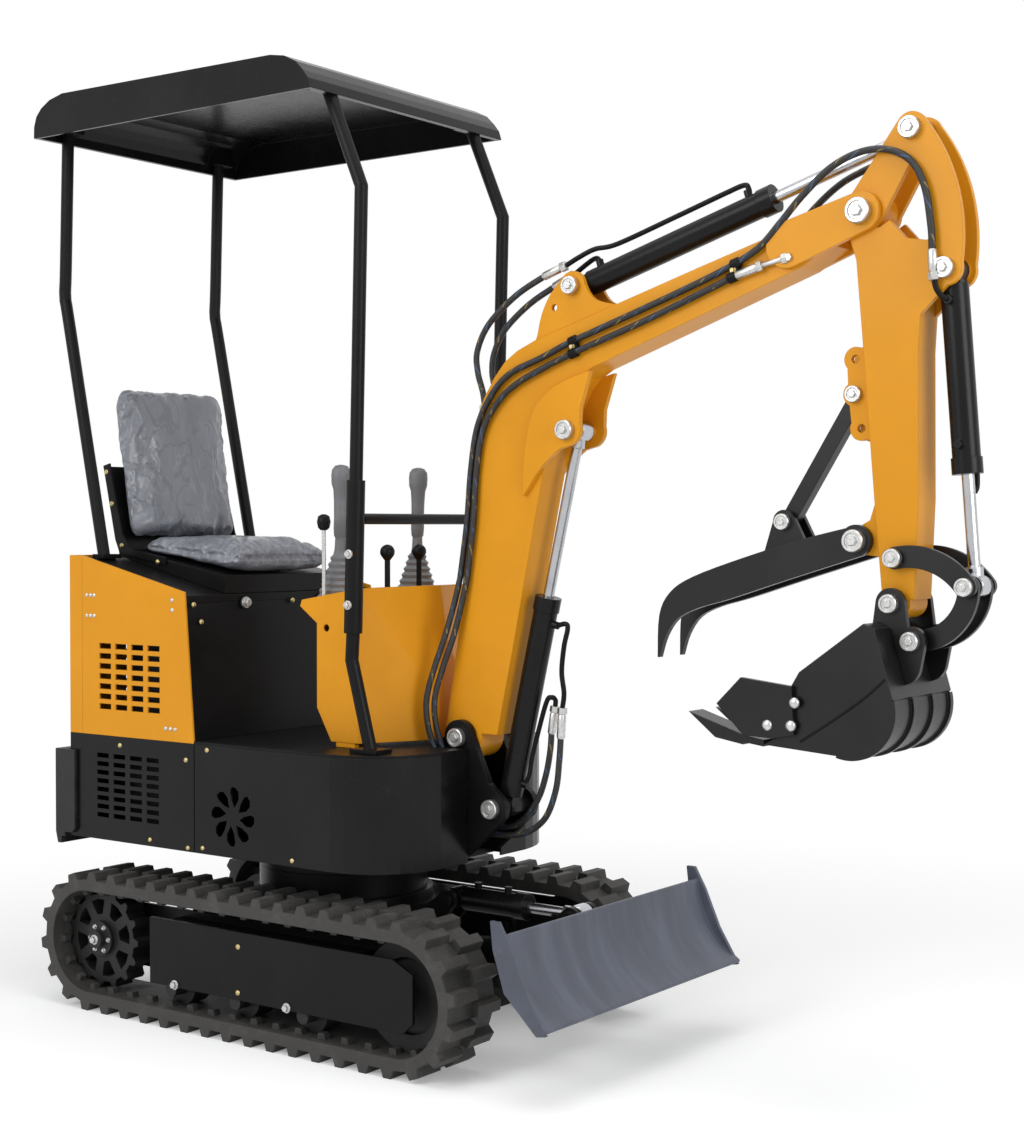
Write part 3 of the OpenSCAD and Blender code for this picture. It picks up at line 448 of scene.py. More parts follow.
def tube_mesh(name, routes, radius, sides=14, steps=10):
    """Round tubes along smooth ways, with a map of metres along and turns around."""
    bm = bmesh.new()
    layer = bm.loops.layers.uv.new("run")
    for points in routes:
        way = smooth_way(points, steps)
        up, rings, done = Vector((0, 1, 0)), [], [0.0]
        for i, p in enumerate(way):
            ahead = (way[min(i + 1, len(way) - 1)] - way[max(i - 1, 0)]).normalized()
            across = up.cross(ahead)
            across = across.normalized() if across.length > 1e-4 else Vector((1, 0, 0))
            up = ahead.cross(across).normalized()
            if i:
                done.append(done[-1] + (p - way[i - 1]).length)
            rings.append([bm.verts.new(p + radius * (
                math.cos(2 * math.pi * k / sides) * across + math.sin(2 * math.pi * k / sides) * up))
                for k in range(sides)])
        for i in range(len(rings) - 1):
            for k in range(sides):
                j = (k + 1) % sides
                face = bm.faces.new((rings[i][k], rings[i][j], rings[i + 1][j], rings[i + 1][k]))
                spots = ((done[i], k), (done[i], k + 1), (done[i + 1], k + 1), (done[i + 1], k))
                for loop, (along, turn) in zip(face.loops, spots):
                    loop[layer].uv = (along, turn / sides)
        bm.faces.new(list(reversed(rings[0])))
        bm.faces.new(rings[-1])
    return to_mesh(bm, name)


# Rows of like pieces by nodes

def row_tree():
    """Node tree that sets a fastener on each point, turned and sized by the point's attributes."""
    name = "fastener_row"
    if name in bpy.data.node_groups:
        return bpy.data.node_groups[name]
    tree = bpy.data.node_groups.new(name, "GeometryNodeTree")
    face = tree.interface
    face.new_socket("Points", in_out="INPUT", socket_type="NodeSocketGeometry")
    face.new_socket("Fastener", in_out="INPUT", socket_type="NodeSocketObject")
    face.new_socket("Finish", in_out="INPUT", socket_type="NodeSocketMaterial")
    face.new_socket("Scale", in_out="INPUT", socket_type="NodeSocketFloat")
    face.new_socket("Row", in_out="OUTPUT", socket_type="NodeSocketGeometry")
    make = tree.nodes.new
    entry, leave = make("NodeGroupInput"), make("NodeGroupOutput")
    pick, put = make("GeometryNodeObjectInfo"), make("GeometryNodeInstanceOnPoints")
    whole, paint = make("GeometryNodeRealizeInstances"), make("GeometryNodeSetMaterial")
    turn, size = make("GeometryNodeInputNamedAttribute"), make("GeometryNodeInputNamedAttribute")
    turn.data_type, size.data_type = "FLOAT_VECTOR", "FLOAT"
    turn.inputs["Name"].default_value, size.inputs["Name"].default_value = "turn", "size"
    spin, grow = make("FunctionNodeEulerToRotation"), make("ShaderNodeMath")
    grow.operation = "MULTIPLY"
    wire = tree.links.new
    wire(entry.outputs["Points"], put.inputs["Points"])
    wire(entry.outputs["Fastener"], pick.inputs["Object"])
    wire(pick.outputs["Geometry"], put.inputs["Instance"])
    wire(turn.outputs["Attribute"], spin.inputs["Euler"])
    wire(spin.outputs["Rotation"], put.inputs["Rotation"])
    wire(size.outputs["Attribute"], grow.inputs[0])
    wire(entry.outputs["Scale"], grow.inputs[1])
    wire(grow.outputs[0], put.inputs["Scale"])
    wire(put.outputs["Instances"], whole.inputs["Geometry"])
    wire(whole.outputs["Geometry"], paint.inputs["Geometry"])
    wire(entry.outputs["Finish"], paint.inputs["Material"])
    wire(paint.outputs["Geometry"], leave.inputs["Row"])
    return tree


def row(name, shape, places, finish, body, scale=1.0):
    """One mesh of a shape repeated at places, each a point, a direction and a size."""
    model = bpy.data.objects.new(name + "_model", shape)
    bpy.context.scene.collection.objects.link(model)
    spots = bpy.data.meshes.new(name + "_spots")
    spots.from_pydata([p for p, _, _ in places], [], [])
    spots.attributes.new("turn", "FLOAT_VECTOR", "POINT")
    spots.attributes.new("size", "FLOAT", "POINT")
    for i, (_, direction, size) in enumerate(places):
        spots.attributes["turn"].data[i].vector = Vector(direction).to_track_quat("Z", "Y").to_euler()
        spots.attributes["size"].data[i].value = size
    holder = bpy.data.objects.new(name + "_holder", spots)
    bpy.context.scene.collection.objects.link(holder)
    tree = row_tree()
    mod = holder.modifiers.new("row", "NODES")
    mod.node_group = tree
    keys = {item.name: item.identifier for item in tree.interface.items_tree if item.in_out == "INPUT"}
    mod[keys["Fastener"]], mod[keys["Finish"]], mod[keys["Scale"]] = model, finish, scale
    bpy.context.view_layer.update()
    ready = holder.evaluated_get(bpy.context.evaluated_depsgraph_get())
    mesh = bpy.data.meshes.new_from_object(ready)
    holder.modifiers.clear()
    bpy.data.objects.remove(holder)
    bpy.data.objects.remove(model)
    return piece(name, mesh, finish, body, 35.0)


def pin_cap(sides=28):
    """Turned cap with a recess and a hex screw, one unit in radius, standing on its foot."""
    bm = bmesh.new()
    rim = [(1.0, 0.0), (1.0, 0.62), (0.92, 0.72), (0.72, 0.72), (0.68, 0.62), (0.50, 0.62)]
    turned(bm, (0, 0, 0), (0, 0, 1), rim, sides)
    turned(bm, (0, 0, 0.60), (0, 0, 1), [(0.46, 0.0), (0.46, 0.24), (0.40, 0.30)], 6)
    return to_mesh(bm, "pin_cap")


def hex_bolt():
    """Bolt head on a washer, one unit across its washer."""
    bm = bmesh.new()
    turned(bm, (0, 0, -0.1), (0, 0, 1), [(0.5, 0.0), (0.5, 0.2), (0.47, 0.23)], 20)
    turned(bm, (0, 0, 0.1), (0, 0, 1), [(0.36, 0.0), (0.36, 0.30), (0.30, 0.36)], 6)
    return to_mesh(bm, "hex_bolt")


def dome_screw():
    """Round screw head, one unit across."""
    bm = bmesh.new()
    dome = [(0.5, 0.0), (0.5, 0.14), (0.44, 0.27), (0.28, 0.37), (0.1, 0.41)]
    turned(bm, (0, 0, -0.1), (0, 0, 1), dome, 14)
    return to_mesh(bm, "dome_screw")


LEFT, RIGHT = Vector((0, 1, 0)), Vector((0, -1, 0))
FORE, REAR, UP = Vector((1, 0, 0)), Vector((-1, 0, 0)), Vector((0, 0, 1))


def both_sides(x, y, z, size):
    """A place on the right and its mirror, both facing outwards."""
    return [(at(x, -y, z), RIGHT, size), (at(x, y, z), LEFT, size)]


# Operators

class Dress(bpy.types.Operator):
    """Give every solid of the machine its finish"""
    bl_idname = "excavator.dress"
    bl_label = "Dress the solids"

    def execute(self, context):
        yellow, black, cast = gloss_yellow(), satin_black(), black_casting()
        panel = satin_black("panel_black", (0.0055, 0.0055, 0.0062), 0.22, 0.06, 0.16)
        finishes = {"black_paint": black, "cast": cast, "grey_paint": slate_paint(), "yellow_paint": yellow,
                    "chrome": hard_chrome(), "track": track_rubber(), "seat": wrapped_vinyl(),
                    "lever": moulded_grip(), "hose": black}
        sheets = {"side_panel_right", "side_panel_left", "lower_cover_right", "lower_cover_left",
                  "canopy_roof", "lift_barrel", "arm_barrel", "dig_barrel", "blade_barrel"}
        gear = satin_black("gear_black", None, 0.30, 0.06, 0.30)
        tools = {"thumb", "thumb_strut", "guide_links", "bucket_links", "bucket_shell", "bucket_ears",
                 "bucket_lip", "side_cutters"}
        special = {**dict.fromkeys(sheets, panel), **dict.fromkeys(tools, gear)}
        for part in frame["record"]["subparts"]:
            item = frame["nodes"][part["node"]]
            finish = special.get(part["node"], finishes[part["material_slot"]])
            if not item.material_slots:
                item.data.materials.append(finish)
            for holder in item.material_slots:
                holder.material = finish
        return {"FINISHED"}


# Cloth of the seat: grid, fabric to spare, steps and the furthest a point may move
CLOTH_GRID, CLOTH_SPARE, CLOTH_STEPS, CLOTH_REACH = 0.006, 0.06, 14, 0.009


def pillow(name, stations, sides, deck):
    """Closed padded form.

    A station has a centre, a side and an outward direction, half sizes, a squareness and a share of padding.
    """
    bm = bmesh.new()
    rings = []
    for centre, side, out, half, thick, power, seam in stations:
        ring = []
        for k in range(sides):
            a = 2 * math.pi * k / sides
            c, s = math.cos(a), math.sin(a)
            u = math.copysign(abs(c) ** (2 / power), c)
            v = math.copysign(abs(s) ** (2 / power), s)
            lift = deck(u, seam) if v > 0 else 0.0
            ring.append(centre + side * (half * u) + out * (thick * v + lift * v))
        rings.append(ring)
    ring_loft(bm, rings)
    bmesh.ops.triangulate(bm, faces=[f for f in bm.faces if len(f.verts) > 4])
    return to_mesh(bm, name)


def bolsters(u, seam):
    """Height of the padding across a cushion: a crown and a raised edge."""
    edge = max(0.0, 1 - ((abs(u) - 0.80) / 0.17) ** 2)
    return seam * (0.007 * (1 - u * u) + 0.005 * edge)


def baked(item):
    """Mesh of an object with its modifiers applied, which are then taken off."""
    bpy.context.view_layer.update()
    ready = item.evaluated_get(bpy.context.evaluated_depsgraph_get())
    mesh = bpy.data.meshes.new_from_object(ready)
    item.modifiers.clear()
    return mesh


def wrapped(mesh, out, wrinkle):
    """Blows a pad up as cloth held at its back, with fabric to spare and a cap on how far it moves."""
    scene, item = bpy.context.scene, bpy.data.objects.new("cloth", mesh)
    scene.collection.objects.link(item)
    even = item.modifiers.new("even", "REMESH")
    even.mode, even.voxel_size = "VOXEL", CLOTH_GRID
    item.data = start = baked(item)
    for v in start.vertices:
        spot = Vector((v.co.x * 15.0, v.co.y * 17.0, v.co.z * 8.0))
        v.co += v.normal * noise.fractal(spot, 0.8, 2.1, 3) * wrinkle
    held = item.vertex_groups.new(name="held")
    held.add([v.index for v in start.vertices if v.normal.dot(out) < -0.4], 1.0, "REPLACE")
    cloth = item.modifiers.new("cloth", "CLOTH").settings
    cloth.use_pressure, cloth.uniform_pressure_force = True, 4.0
    cloth.effector_weights.gravity = 0.0
    cloth.vertex_group_mass, cloth.shrink_min = "held", -CLOTH_SPARE
    cloth.bending_stiffness, cloth.quality = 0.3, 3
    for step in range(1, CLOTH_STEPS + 1):
        scene.frame_set(step)
    item.data = baked(item)
    for v, old in zip(item.data.vertices, start.vertices):
        move = v.co - old.co
        if move.length > CLOTH_REACH:
            v.co = old.co + move * (CLOTH_REACH / move.length)
    scene.frame_set(1)
    item.modifiers.new("smooth", "SUBSURF").levels = 1
    mesh = baked(item)
    bpy.data.objects.remove(item)
    return mesh


def stitched(mesh, low, high, depth):
    """Draws a seam in around the sides of a pad, at mid height."""
    for v in mesh.vertices:
        bottom = low(v.co.x)
        level = (v.co.z - bottom) / (high - bottom)
        side = max(0.0, 1 - abs(v.normal.z) * 1.3)
        v.co -= v.normal * depth * side * math.exp(-((level - 0.52) / 0.11) ** 2)
    return mesh


# Top of the cushion, and how far it stays inside its solid at the rear, the front and the sides
CUSHION_LEVEL, CUSHION_REAR, CUSHION_FRONT, CUSHION_SIDE = 1202, 36, 10, 22
# Ends of the back's middle line
BACK_FOOT, BACK_TOP = (-582, 0, 1213), (-642, 0, 1611)
# Outline of the bent flat bar on each side of the seat, as forward and up
BRACKET = ((-668, 1404), (-644, 1410), (-618, 1300), (-596, 1222), (-576, 1192), (-546, 1178),
           (-430, 1160), (-430, 1140), (-560, 1162), (-606, 1172), (-622, 1206))


class Seat(bpy.types.Operator):
    """Pad the seat's cushion and back under a creased clear wrap"""
    bl_idname = "excavator.seat"
    bl_label = "Seat"

    def execute(self, context):
        _, detail = settings()
        vinyl = bpy.data.materials["wrapped_vinyl"]
        low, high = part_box("seat_cushion")
        half = (high.y - low.y) / 2
        count, rows = 96, 60

        def pan(x):
            """Height of the seat's pan."""
            return (1182 - ((x - SLEW_X) / MM + 600) * 0.165) * MM

        stations, level = [], CUSHION_LEVEL * MM
        rear, front = low.x + CUSHION_REAR * MM, high.x - CUSHION_FRONT * MM
        for i in range(rows + 1):
            t = i / rows
            x = rear + (front - rear) * t
            ends = min(t / 0.10, (1 - t) / 0.13, 1.0)
            grow = max(0.12, math.sin(math.pi / 2 * ends) ** 0.55)
            bottom = pan(x)
            middle = bottom + (level - bottom) * 0.48
            width = (half - CUSHION_SIDE * MM) * (0.90 + 0.10 * grow)
            thick = (level - bottom) * 0.48 * grow
            stations.append((Vector((x, 0, middle)), LEFT, UP, width, thick, 3.6, grow))
        mesh = wrapped(pillow("seat_cushion_pad", stations, count, bolsters), UP, detail.wrinkle)
        cushion = piece("seat_cushion_pad", stitched(mesh, pan, level, 0.007), vinyl, "house", 80.0)
        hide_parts("seat_cushion")
        foot, top = at(*BACK_FOOT), at(*BACK_TOP)
        lean = (top - foot).normalized()
        out = Vector((lean.z, 0, -lean.x))
        stations = []
        for i in range(rows + 1):
            t = i / rows
            ends = min(t / 0.10, (1 - t) / 0.15, 1.0)
            grow = max(0.12, math.sin(math.pi / 2 * ends) ** 0.6)
            width = half * (0.93 + 0.04 * t) * (0.80 + 0.20 * grow if t > 0.5 else 0.93 + 0.07 * grow)
            stations.append((foot.lerp(top, t), LEFT, out, width, 0.024 * grow, 3.4, grow))
        mesh = wrapped(pillow("seat_back_pad", stations, count, bolsters), out, detail.wrinkle)
        back = piece("seat_back_pad", mesh, vinyl, "house", 80.0)
        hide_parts("seat_back")
        bm = bmesh.new()
        for y0, y1 in ((-213, -207.8), (207.8, 213)):
            ring_loft(bm, [route(y, BRACKET) for y in (y0, y1)])
        black = bpy.data.materials["satin_black"]
        piece("seat_brackets", to_mesh(bm, "seat_brackets"), black, "house", 30.0)
        return {"FINISHED"}


class Controls(bpy.types.Operator):
    """Make the joysticks with their pleated boots and the knobbed levers"""
    bl_idname = "excavator.controls"
    bl_label = "Controls"

    def execute(self, context):
        grip, black = bpy.data.materials["moulded_grip"], bpy.data.materials["satin_black"]
        bm = bmesh.new()
        for side in (-1, 1):
            foot = at(120, side * 150, 1062)
            boot = [(0.050, -0.01), (0.058, 0.0)]
            for k in range(7):
                r = 0.056 - 0.0052 * k
                boot += [(r, 0.006 + 0.016 * k), (r - 0.008, 0.014 + 0.016 * k)]
            boot += [(0.014, 0.124), (0.012, 0.165)]
            turned(bm, foot, (0.02, 0.0, 1), boot, 32)
            hand = [(0.013, 0.150), (0.017, 0.156), (0.0185, 0.175), (0.0178, 0.205), (0.0185, 0.24),
                    (0.0205, 0.270), (0.0255, 0.284), (0.0265, 0.304), (0.0250, 0.318), (0.017, 0.328),
                    (0.006, 0.331)]
            turned(bm, foot, (0.02, 0.0, 1), hand, 28, 0.86)
        sticks = piece("joystick_grips", to_mesh(bm, "joystick_grips"), grip, "house", 50.0)
        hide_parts("joysticks")
        bm = bmesh.new()
        for side in (-1, 1):
            foot = at(200, side * 62, 1040)
            turned(bm, foot, UP, [(0.007, 0.0), (0.007, 0.125)], 16)
            ball = [(0.0185 * math.sin(math.pi * k / 12), 0.138 - 0.0185 * math.cos(math.pi * k / 12))
                    for k in range(3, 12)]
            turned(bm, foot, UP, [(0.008, 0.118), *ball, (0.002, 0.1565)], 24)
        levers = piece("knobbed_levers", to_mesh(bm, "knobbed_levers"), black, "house", 50.0)
        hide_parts("travel_levers")
        foot = at(126, -214, 1000)
        bm = bmesh.new()
        turned(bm, foot, UP, [(0.005, 0.0), (0.005, 0.240)], 14)
        piece("throttle_rod", to_mesh(bm, "throttle_rod"), zinc_steel(), "house", 50.0)
        bm = bmesh.new()
        knob = [(0.008, 0.232), (0.014, 0.238), (0.017, 0.252), (0.014, 0.266), (0.005, 0.271)]
        turned(bm, foot, UP, knob, 20)
        piece("throttle_knob", to_mesh(bm, "throttle_knob"), black, "house", 60.0)
        return {"FINISHED"}


class PinCaps(bpy.types.Operator):
    """Set a plated cap on the end of every pin"""
    bl_idname = "excavator.pin_caps"
    bl_label = "Pin caps"

    def execute(self, context):
        _, detail = settings()
        steel = bpy.data.materials["zinc_steel"]
        r = detail.cap_radius
        joint = {name: ((p.x - SLEW_X) / MM, p.z / MM) for name, p in PINS.items()}
        spots = {
            "house": [(*joint["boom"], 68, 1.1), (*joint["lift_turn"], 68, 1.1)],
            "boom": [(*joint["stick"], 57.5, 1.3), (735, 1464, 57.5, 1.1), (*joint["arm_turn"], 45, 1.0)],
            "stick": [(1580, 2055, 43.5, 1.1), (*joint["dig_turn"], 43.5, 1.05),
                      (*joint["guide"], 61, 0.95), (1465, 1211, 56.5, 1.15), (1284, 1251, 31, 0.85),
                      (1450, 1518, 31, 0.85)],
            "guide_links": [(*joint["link"], 56.5, 0.9)],
            "bucket": [(*joint["bucket"], 72.5, 0.95), (1598, 1007, 72.5, 0.95)],
            "blade": [((PINS["blade"].x - SLEW_X) / MM, PINS["blade"].z / MM, 228, 0.8)],
        }
        for body, list_of in spots.items():
            places = [spot for x, z, y, size in list_of for spot in both_sides(x, y, z, size)]
            row("pin_caps_" + body, pin_cap(), places, steel, body, r)
        return {"FINISHED"}


# Middle of the sprocket's hub and radius of its ring of bolts
HUB_X, HUB_Z, HUB_RING = -510, 178, 33


class Bolts(bpy.types.Operator):
    """Bolt the panels, covers, posts, cutters and track frames"""
    bl_idname = "excavator.bolts"
    bl_label = "Bolts and screws"

    def execute(self, context):
        steel = bpy.data.materials["zinc_steel"]
        brass = brass_zinc()
        posts = [spot for z in (1056, 1176) for x in (277 + (z - 989) * 0.0277,)
                 for spot in both_sides(x, 300, z, 0.022)]
        row("post_bolts", hex_bolt(), posts, steel, "house")
        hinges = []
        for x, z in ((-572, 1063), (-558, 1063), (-544, 1063), (-572, 1010), (-558, 1010), (-544, 1010),
                     (-255, 1057), (-255, 1032), (-280, 734), (-263, 734), (-246, 734)):
            hinges += both_sides(x, 355, z, 0.011)
        row("cover_screws", dome_screw(), hinges, steel, "house")
        panel = []
        for x, z in ((-134, 690), (-448, 680), (-208, 660), (-338, 448), (-202, 441), (150, 446),
                     (-150, 446)):
            panel += both_sides(x, 355, z, 0.013)
        for y, z in ((-330, 1046), (-306, 1002), (29, 1046), (300, 1046), (-300, 735), (-90, 735), (90, 735),
                     (300, 735)):
            panel.append((at(-189 - (z - 735) * 0.0491, y, z), FORE, 0.014))
        for x, z in ((-655, 1387), (-634, 1302), (-596, 1190), (-459, 1148)):
            panel += both_sides(x, 213, z, 0.014)
        row("panel_screws", dome_screw(), panel, brass, "house")
        latch = [(at(-204, y, 1046), FORE, 0.030) for y in (-147, 147)]
        row("box_latches", hex_bolt(), latch, steel, "house")
        cutter = []
        for x, z in ((1378, 876), (1370, 828), (1315, 826)):
            cutter += both_sides(x, 157.4, z, 0.024)
        row("cutter_bolts", dome_screw(), cutter, steel, "bucket")
        tracks = [spot for x, z in ((-197, 110), (179, 110)) for spot in both_sides(x, 405, z, 0.024)]
        row("track_frame_bolts", hex_bolt(), tracks, steel, "undercarriage")
        plugs = [spot for x, z in ((20, 233), (19, 122)) for spot in both_sides(x, 405, z, 0.014)]
        row("track_frame_screws", dome_screw(), plugs, brass, "undercarriage")
        hub = []
        for turn in range(6):
            angle = turn * math.pi / 3
            x, z = HUB_X + HUB_RING * math.cos(angle), HUB_Z + HUB_RING * math.sin(angle)
            hub += both_sides(x, 371.4, z, 0.013)
        hub += both_sides(HUB_X, 387.4, HUB_Z, 0.026)
        row("hub_bolts", hex_bolt(), hub, steel, "undercarriage")
        roof = [(at(x, side * 330, 2359 - 0.0125 * abs(x + 260) - 4), UP, 0.018)
                for x in (-600, -260, 80) for side in (-1, 1)]
        row("roof_bolts", dome_screw(), roof, bpy.data.materials["satin_black"], "house")
        return {"FINISHED"}


# Right side of the boom, and the places of the clamps on its pair of hoses
BOOM_SIDE = -45.0
CLAMPS = (((754, 1668), (754, 1640)), ((1180, 1810), (1172, 1781)))


def hose_routes(radius):
    """Ways of the hoses, by what they cross."""
    off = BOOM_SIDE - radius / MM - 3.0
    upper = [(424, 1120), (444, 1250), (456, 1376), (476, 1480), (520, 1556), (574, 1602), (661, 1633),
             (754, 1668), (936, 1726), (1091, 1777), (1185, 1812)]
    lower = [(446, 1120), (464, 1250), (474, 1376), (494, 1472), (540, 1538), (592, 1576), (661, 1606),
             (754, 1640), (962, 1706), (1179, 1783)]
    base = [at(372, -92, 708), at(362, -104, 762), at(360, -106, 826), at(376, -96, 900), at(396, -78, 980),
            at(412, -62, 1060), at(424, off, 1120)]
    second = [at(386, -78, 708), at(376, -90, 762), at(374, -92, 826), at(391, -82, 900), at(414, -68, 980),
              at(433, -60, 1060), at(446, off - 1.0, 1120)]
    reach = [upper[-1], (1240, 1842), (1290, 1890), (1340, 1940), (1405, 1991), (1473, 2016), (1535, 2014),
             (1586, 1985), (1616, 1930), (1630, 1850), (1633, 1800)]
    far = [(1170, 1806), (1206, 1823), (1252, 1866), (1304, 1924), (1366, 1972), (1424, 1998), (1482, 2012),
           (1540, 2008), (1590, 1975), (1618, 1920), (1630, 1850), (1633, 1800)]
    arm_far = [(470, 1500), (462, 1560), (446, 1612), (444, 1664), (480, 1728), (560, 1790), (640, 1828)]
    arm_near = [(486, 1512), (478, 1566), (468, 1612), (474, 1660), (508, 1716), (578, 1770), (650, 1806)]
    lift_far = [(366, 500), (440, 500), (530, 500), (592, 512), (646, 552), (676, 620), (686, 690),
                (690, 742)]
    lift_near = [(366, 516), (440, 515), (516, 516), (566, 540), (606, 592), (628, 650), (640, 706),
                 (644, 748)]
    return {
        "boom": [route(off, upper), route(off - 1.0, lower)],
        "base": [base, second],
        "reach": [route(off, reach), route(-off, far)],
        "arm": [route(-14, arm_far), route(14, arm_near)],
        "lift": [route(-14, lift_far), route(14, lift_near)],
    }


class Hoses(bpy.types.Operator):
    """Lay the hoses along the boom and over its joints"""
    bl_idname = "excavator.hoses"
    bl_label = "Hoses"

    def execute(self, context):
        _, detail = settings()
        rubber = hose_rubber()
        r, sides = detail.hose_radius, detail.hose_sides
        ways = hose_routes(r)
        pair = tube_mesh("boom_side_hoses", ways["boom"], r, sides)
        held = piece("boom_side_hoses", pair, rubber, "boom")
        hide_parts("boom_hoses")
        for name, key, a, b, start, end in (
                ("base_hoses", "base", "house", "boom", at(372, -80, 720), at(412, -60, 1060)),
                ("stick_hoses", "reach", "boom", "stick", at(1330, 0, 1900), at(1600, 0, 1960)),
                ("arm_hoses", "arm", "boom", "arm_barrel", at(480, 0, 1700), at(630, 0, 1800)),
                ("lift_hoses", "lift", "house", "lift_barrel", at(560, 0, 510), at(680, 0, 700))):
            item = piece(name, tube_mesh(name, ways[key], r, sides, 14), rubber, None)
            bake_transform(item)
        return {"FINISHED"}


class Fittings(bpy.types.Operator):
    """Add the hose clamps, crimped ends, unions and rigid oil lines"""
    bl_idname = "excavator.fittings"
    bl_label = "Clamps and fittings"

    def execute(self, context):
        _, detail = settings()
        steel, black = bpy.data.materials["zinc_steel"], bpy.data.materials["satin_black"]
        brass = bpy.data.materials["brass_zinc"]
        r, line = detail.hose_radius, detail.line_radius
        off = BOOM_SIDE - r / MM - 3.0
        run = Vector((0.95, 0, 0.31)).normalized()
        bm, screws = bmesh.new(), []
        for pair in CLAMPS:
            for x, z in pair:
                collar = [(r * 1.2, 0.0), (r * 1.6, 0.003), (r * 1.6, 0.021), (r * 1.2, 0.024)]
                turned(bm, at(x, off, z) - run * 0.012, run, collar, 20)
            (x0, z0), (x1, z1) = pair
            middle = at((x0 + x1) / 2, BOOM_SIDE, (z0 + z1) / 2)
            turned(bm, middle, RIGHT, [(0.012, 0.0), (0.012, 0.014), (0.010, 0.016)], 16)
            screws.append((middle + RIGHT * 0.016, RIGHT, 0.015))
        piece("hose_clamps", to_mesh(bm, "hose_clamps"), black, "boom", 40.0)
        row("clamp_screws", hex_bolt(), screws, brass, "boom")

        def ends(bm, points, sizes):
            """Turned steel sleeves from point to point."""
            for (a, b), (thick, corners) in zip(zip(points, points[1:]), sizes):
                reach = (b - a).length
                sleeve = [(thick * 0.8, 0.0), (thick, reach * 0.08), (thick, reach * 0.92),
                          (thick * 0.8, reach)]
                turned(bm, a, b - a, sleeve, corners)

        crimp, nut, pipe = (r * 1.35, 18), (r * 1.6, 6), (line, 14)
        bm = bmesh.new()
        union = route(off, [(1179, 1783), (1232, 1797), (1246, 1801), (1292, 1810), (1308, 1812)])
        ends(bm, union, (crimp, nut, pipe, nut))
        turned(bm, at(1310, BOOM_SIDE + 2, 1812), RIGHT, [(0.010, 0.0), (0.010, 0.018), (0.008, 0.022)], 6)
        ends(bm, route(-off, [(1170, 1806), (1126, 1787), (1112, 1781)]), (crimp, nut))
        turned(bm, at(1110, -BOOM_SIDE - 2, 1780), LEFT, [(0.010, 0.0), (0.010, 0.018), (0.008, 0.022)], 6)
        for y, x, z in ((-14, 466, 1500), (14, 482, 1512)):
            ends(bm, [at(x + 3, y, z - 22), at(x, y, z), at(x - 4, y, z + 34)], (nut, crimp))
        piece("boom_union", to_mesh(bm, "boom_union"), steel, "boom", 40.0)
        bm = bmesh.new()
        ends(bm, [at(358, -14, 500), at(374, -14, 500), at(410, -14, 500)], (nut, crimp))
        ends(bm, [at(358, 14, 516), at(374, 14, 516), at(410, 14, 515)], (nut, crimp))
        piece("deck_unions", to_mesh(bm, "deck_unions"), steel, "house", 40.0)
        seam = [(1386, 795), (1455, 840), (1526, 890), (1574, 932)]
        bead = tube_mesh("bucket_welds", [route(y, seam) for y in (-145.5, 145.5)], 0.0026, 8, 24)
        piece("bucket_welds", bead, black, "bucket", 60.0)
        bm = bmesh.new()
        for side in (off, -off):
            ends(bm, route(side, [(1633, 1802), (1636, 1756), (1638, 1738)]), (crimp, nut))
        piece("stick_unions", to_mesh(bm, "stick_unions"), steel, "stick", 40.0)
        bm = bmesh.new()
        ends(bm, [at(640, -14, 1828), at(690, -14, 1845), at(706, -14, 1850)], (crimp, nut))
        ends(bm, [at(650, 14, 1806), at(696, 14, 1826), at(710, 14, 1832)], (crimp, nut))
        piece("arm_unions", to_mesh(bm, "arm_unions"), steel, "arm_barrel", 40.0)
        bm = bmesh.new()
        ends(bm, [at(690, -14, 742), at(694, -14, 800), at(695, -14, 816)], (crimp, nut))
        ends(bm, [at(644, 14, 748), at(652, 14, 800), at(655, 14, 816)], (crimp, nut))
        piece("lift_unions", to_mesh(bm, "lift_unions"), steel, "lift_barrel", 40.0)
        for name, body, ways in (
                ("arm_lines", "arm_barrel", [
                    [at(706, -14, 1850), at(740, -12, 1866), at(780, -6, 1882), at(840, 0, 1890),
                     at(1000, 0, 1938), at(1120, 0, 1975), at(1168, 0, 1988), at(1180, 0, 1980),
                     at(1184, 0, 1956)],
                    [at(710, 14, 1832), at(745, 12, 1852), at(772, 6, 1862), at(786, 2, 1858),
                     at(796, 0, 1836)]]),
                ("lift_lines", "lift_barrel", [
                    [at(695, -14, 816), at(698, -12, 850), at(690, -10, 900), at(694, -6, 960),
                     at(700, 0, 1000), at(694, 0, 1012), at(668, 0, 1006)],
                    [at(655, 14, 816), at(658, 10, 830), at(650, 6, 836), at(636, 2, 820), at(600, 0, 700),
                     at(590, 0, 650), at(578, 0, 626)]]),
                ("dig_lines", "dig_barrel", [
                    [at(1638, off, 1738), at(1642, off + 1, 1722), at(1650, off + 6, 1708),
                     at(1660, off + 14, 1700)],
                    [at(1638, -off, 1738), at(1644, -off, 1700), at(1660, -off - 4, 1600),
                     at(1684, -off - 8, 1400), at(1690, -off - 12, 1330), at(1690, -off - 24, 1312)]])):
            piece(name, tube_mesh(name, ways, line, 12, 8), black, body, 50.0)
        return {"FINISHED"}


# Name, place, aim, size and power of each lamp
LAMPS = (("key", (-1.2, -5.2, 3.8), (0, 0, 1.0), 3.2, 138.0),
         ("top", (0.4, -0.4, 5.6), (0, 0, 0.8), 4.0, 100.0),
         ("front", (5.4, -1.0, 2.6), (0.3, 0, 0.9), 2.6, 98.0))
# Place, tilt, turn and focal length of the camera
CAMERA_AT, CAMERA_TILT, CAMERA_TURN, CAMERA_LENS = (3201.1, -3623.4, 1241.5), 88.832, 36.318, 59.79
# Strength of the world's light on the object
AMBIENT = 0.44


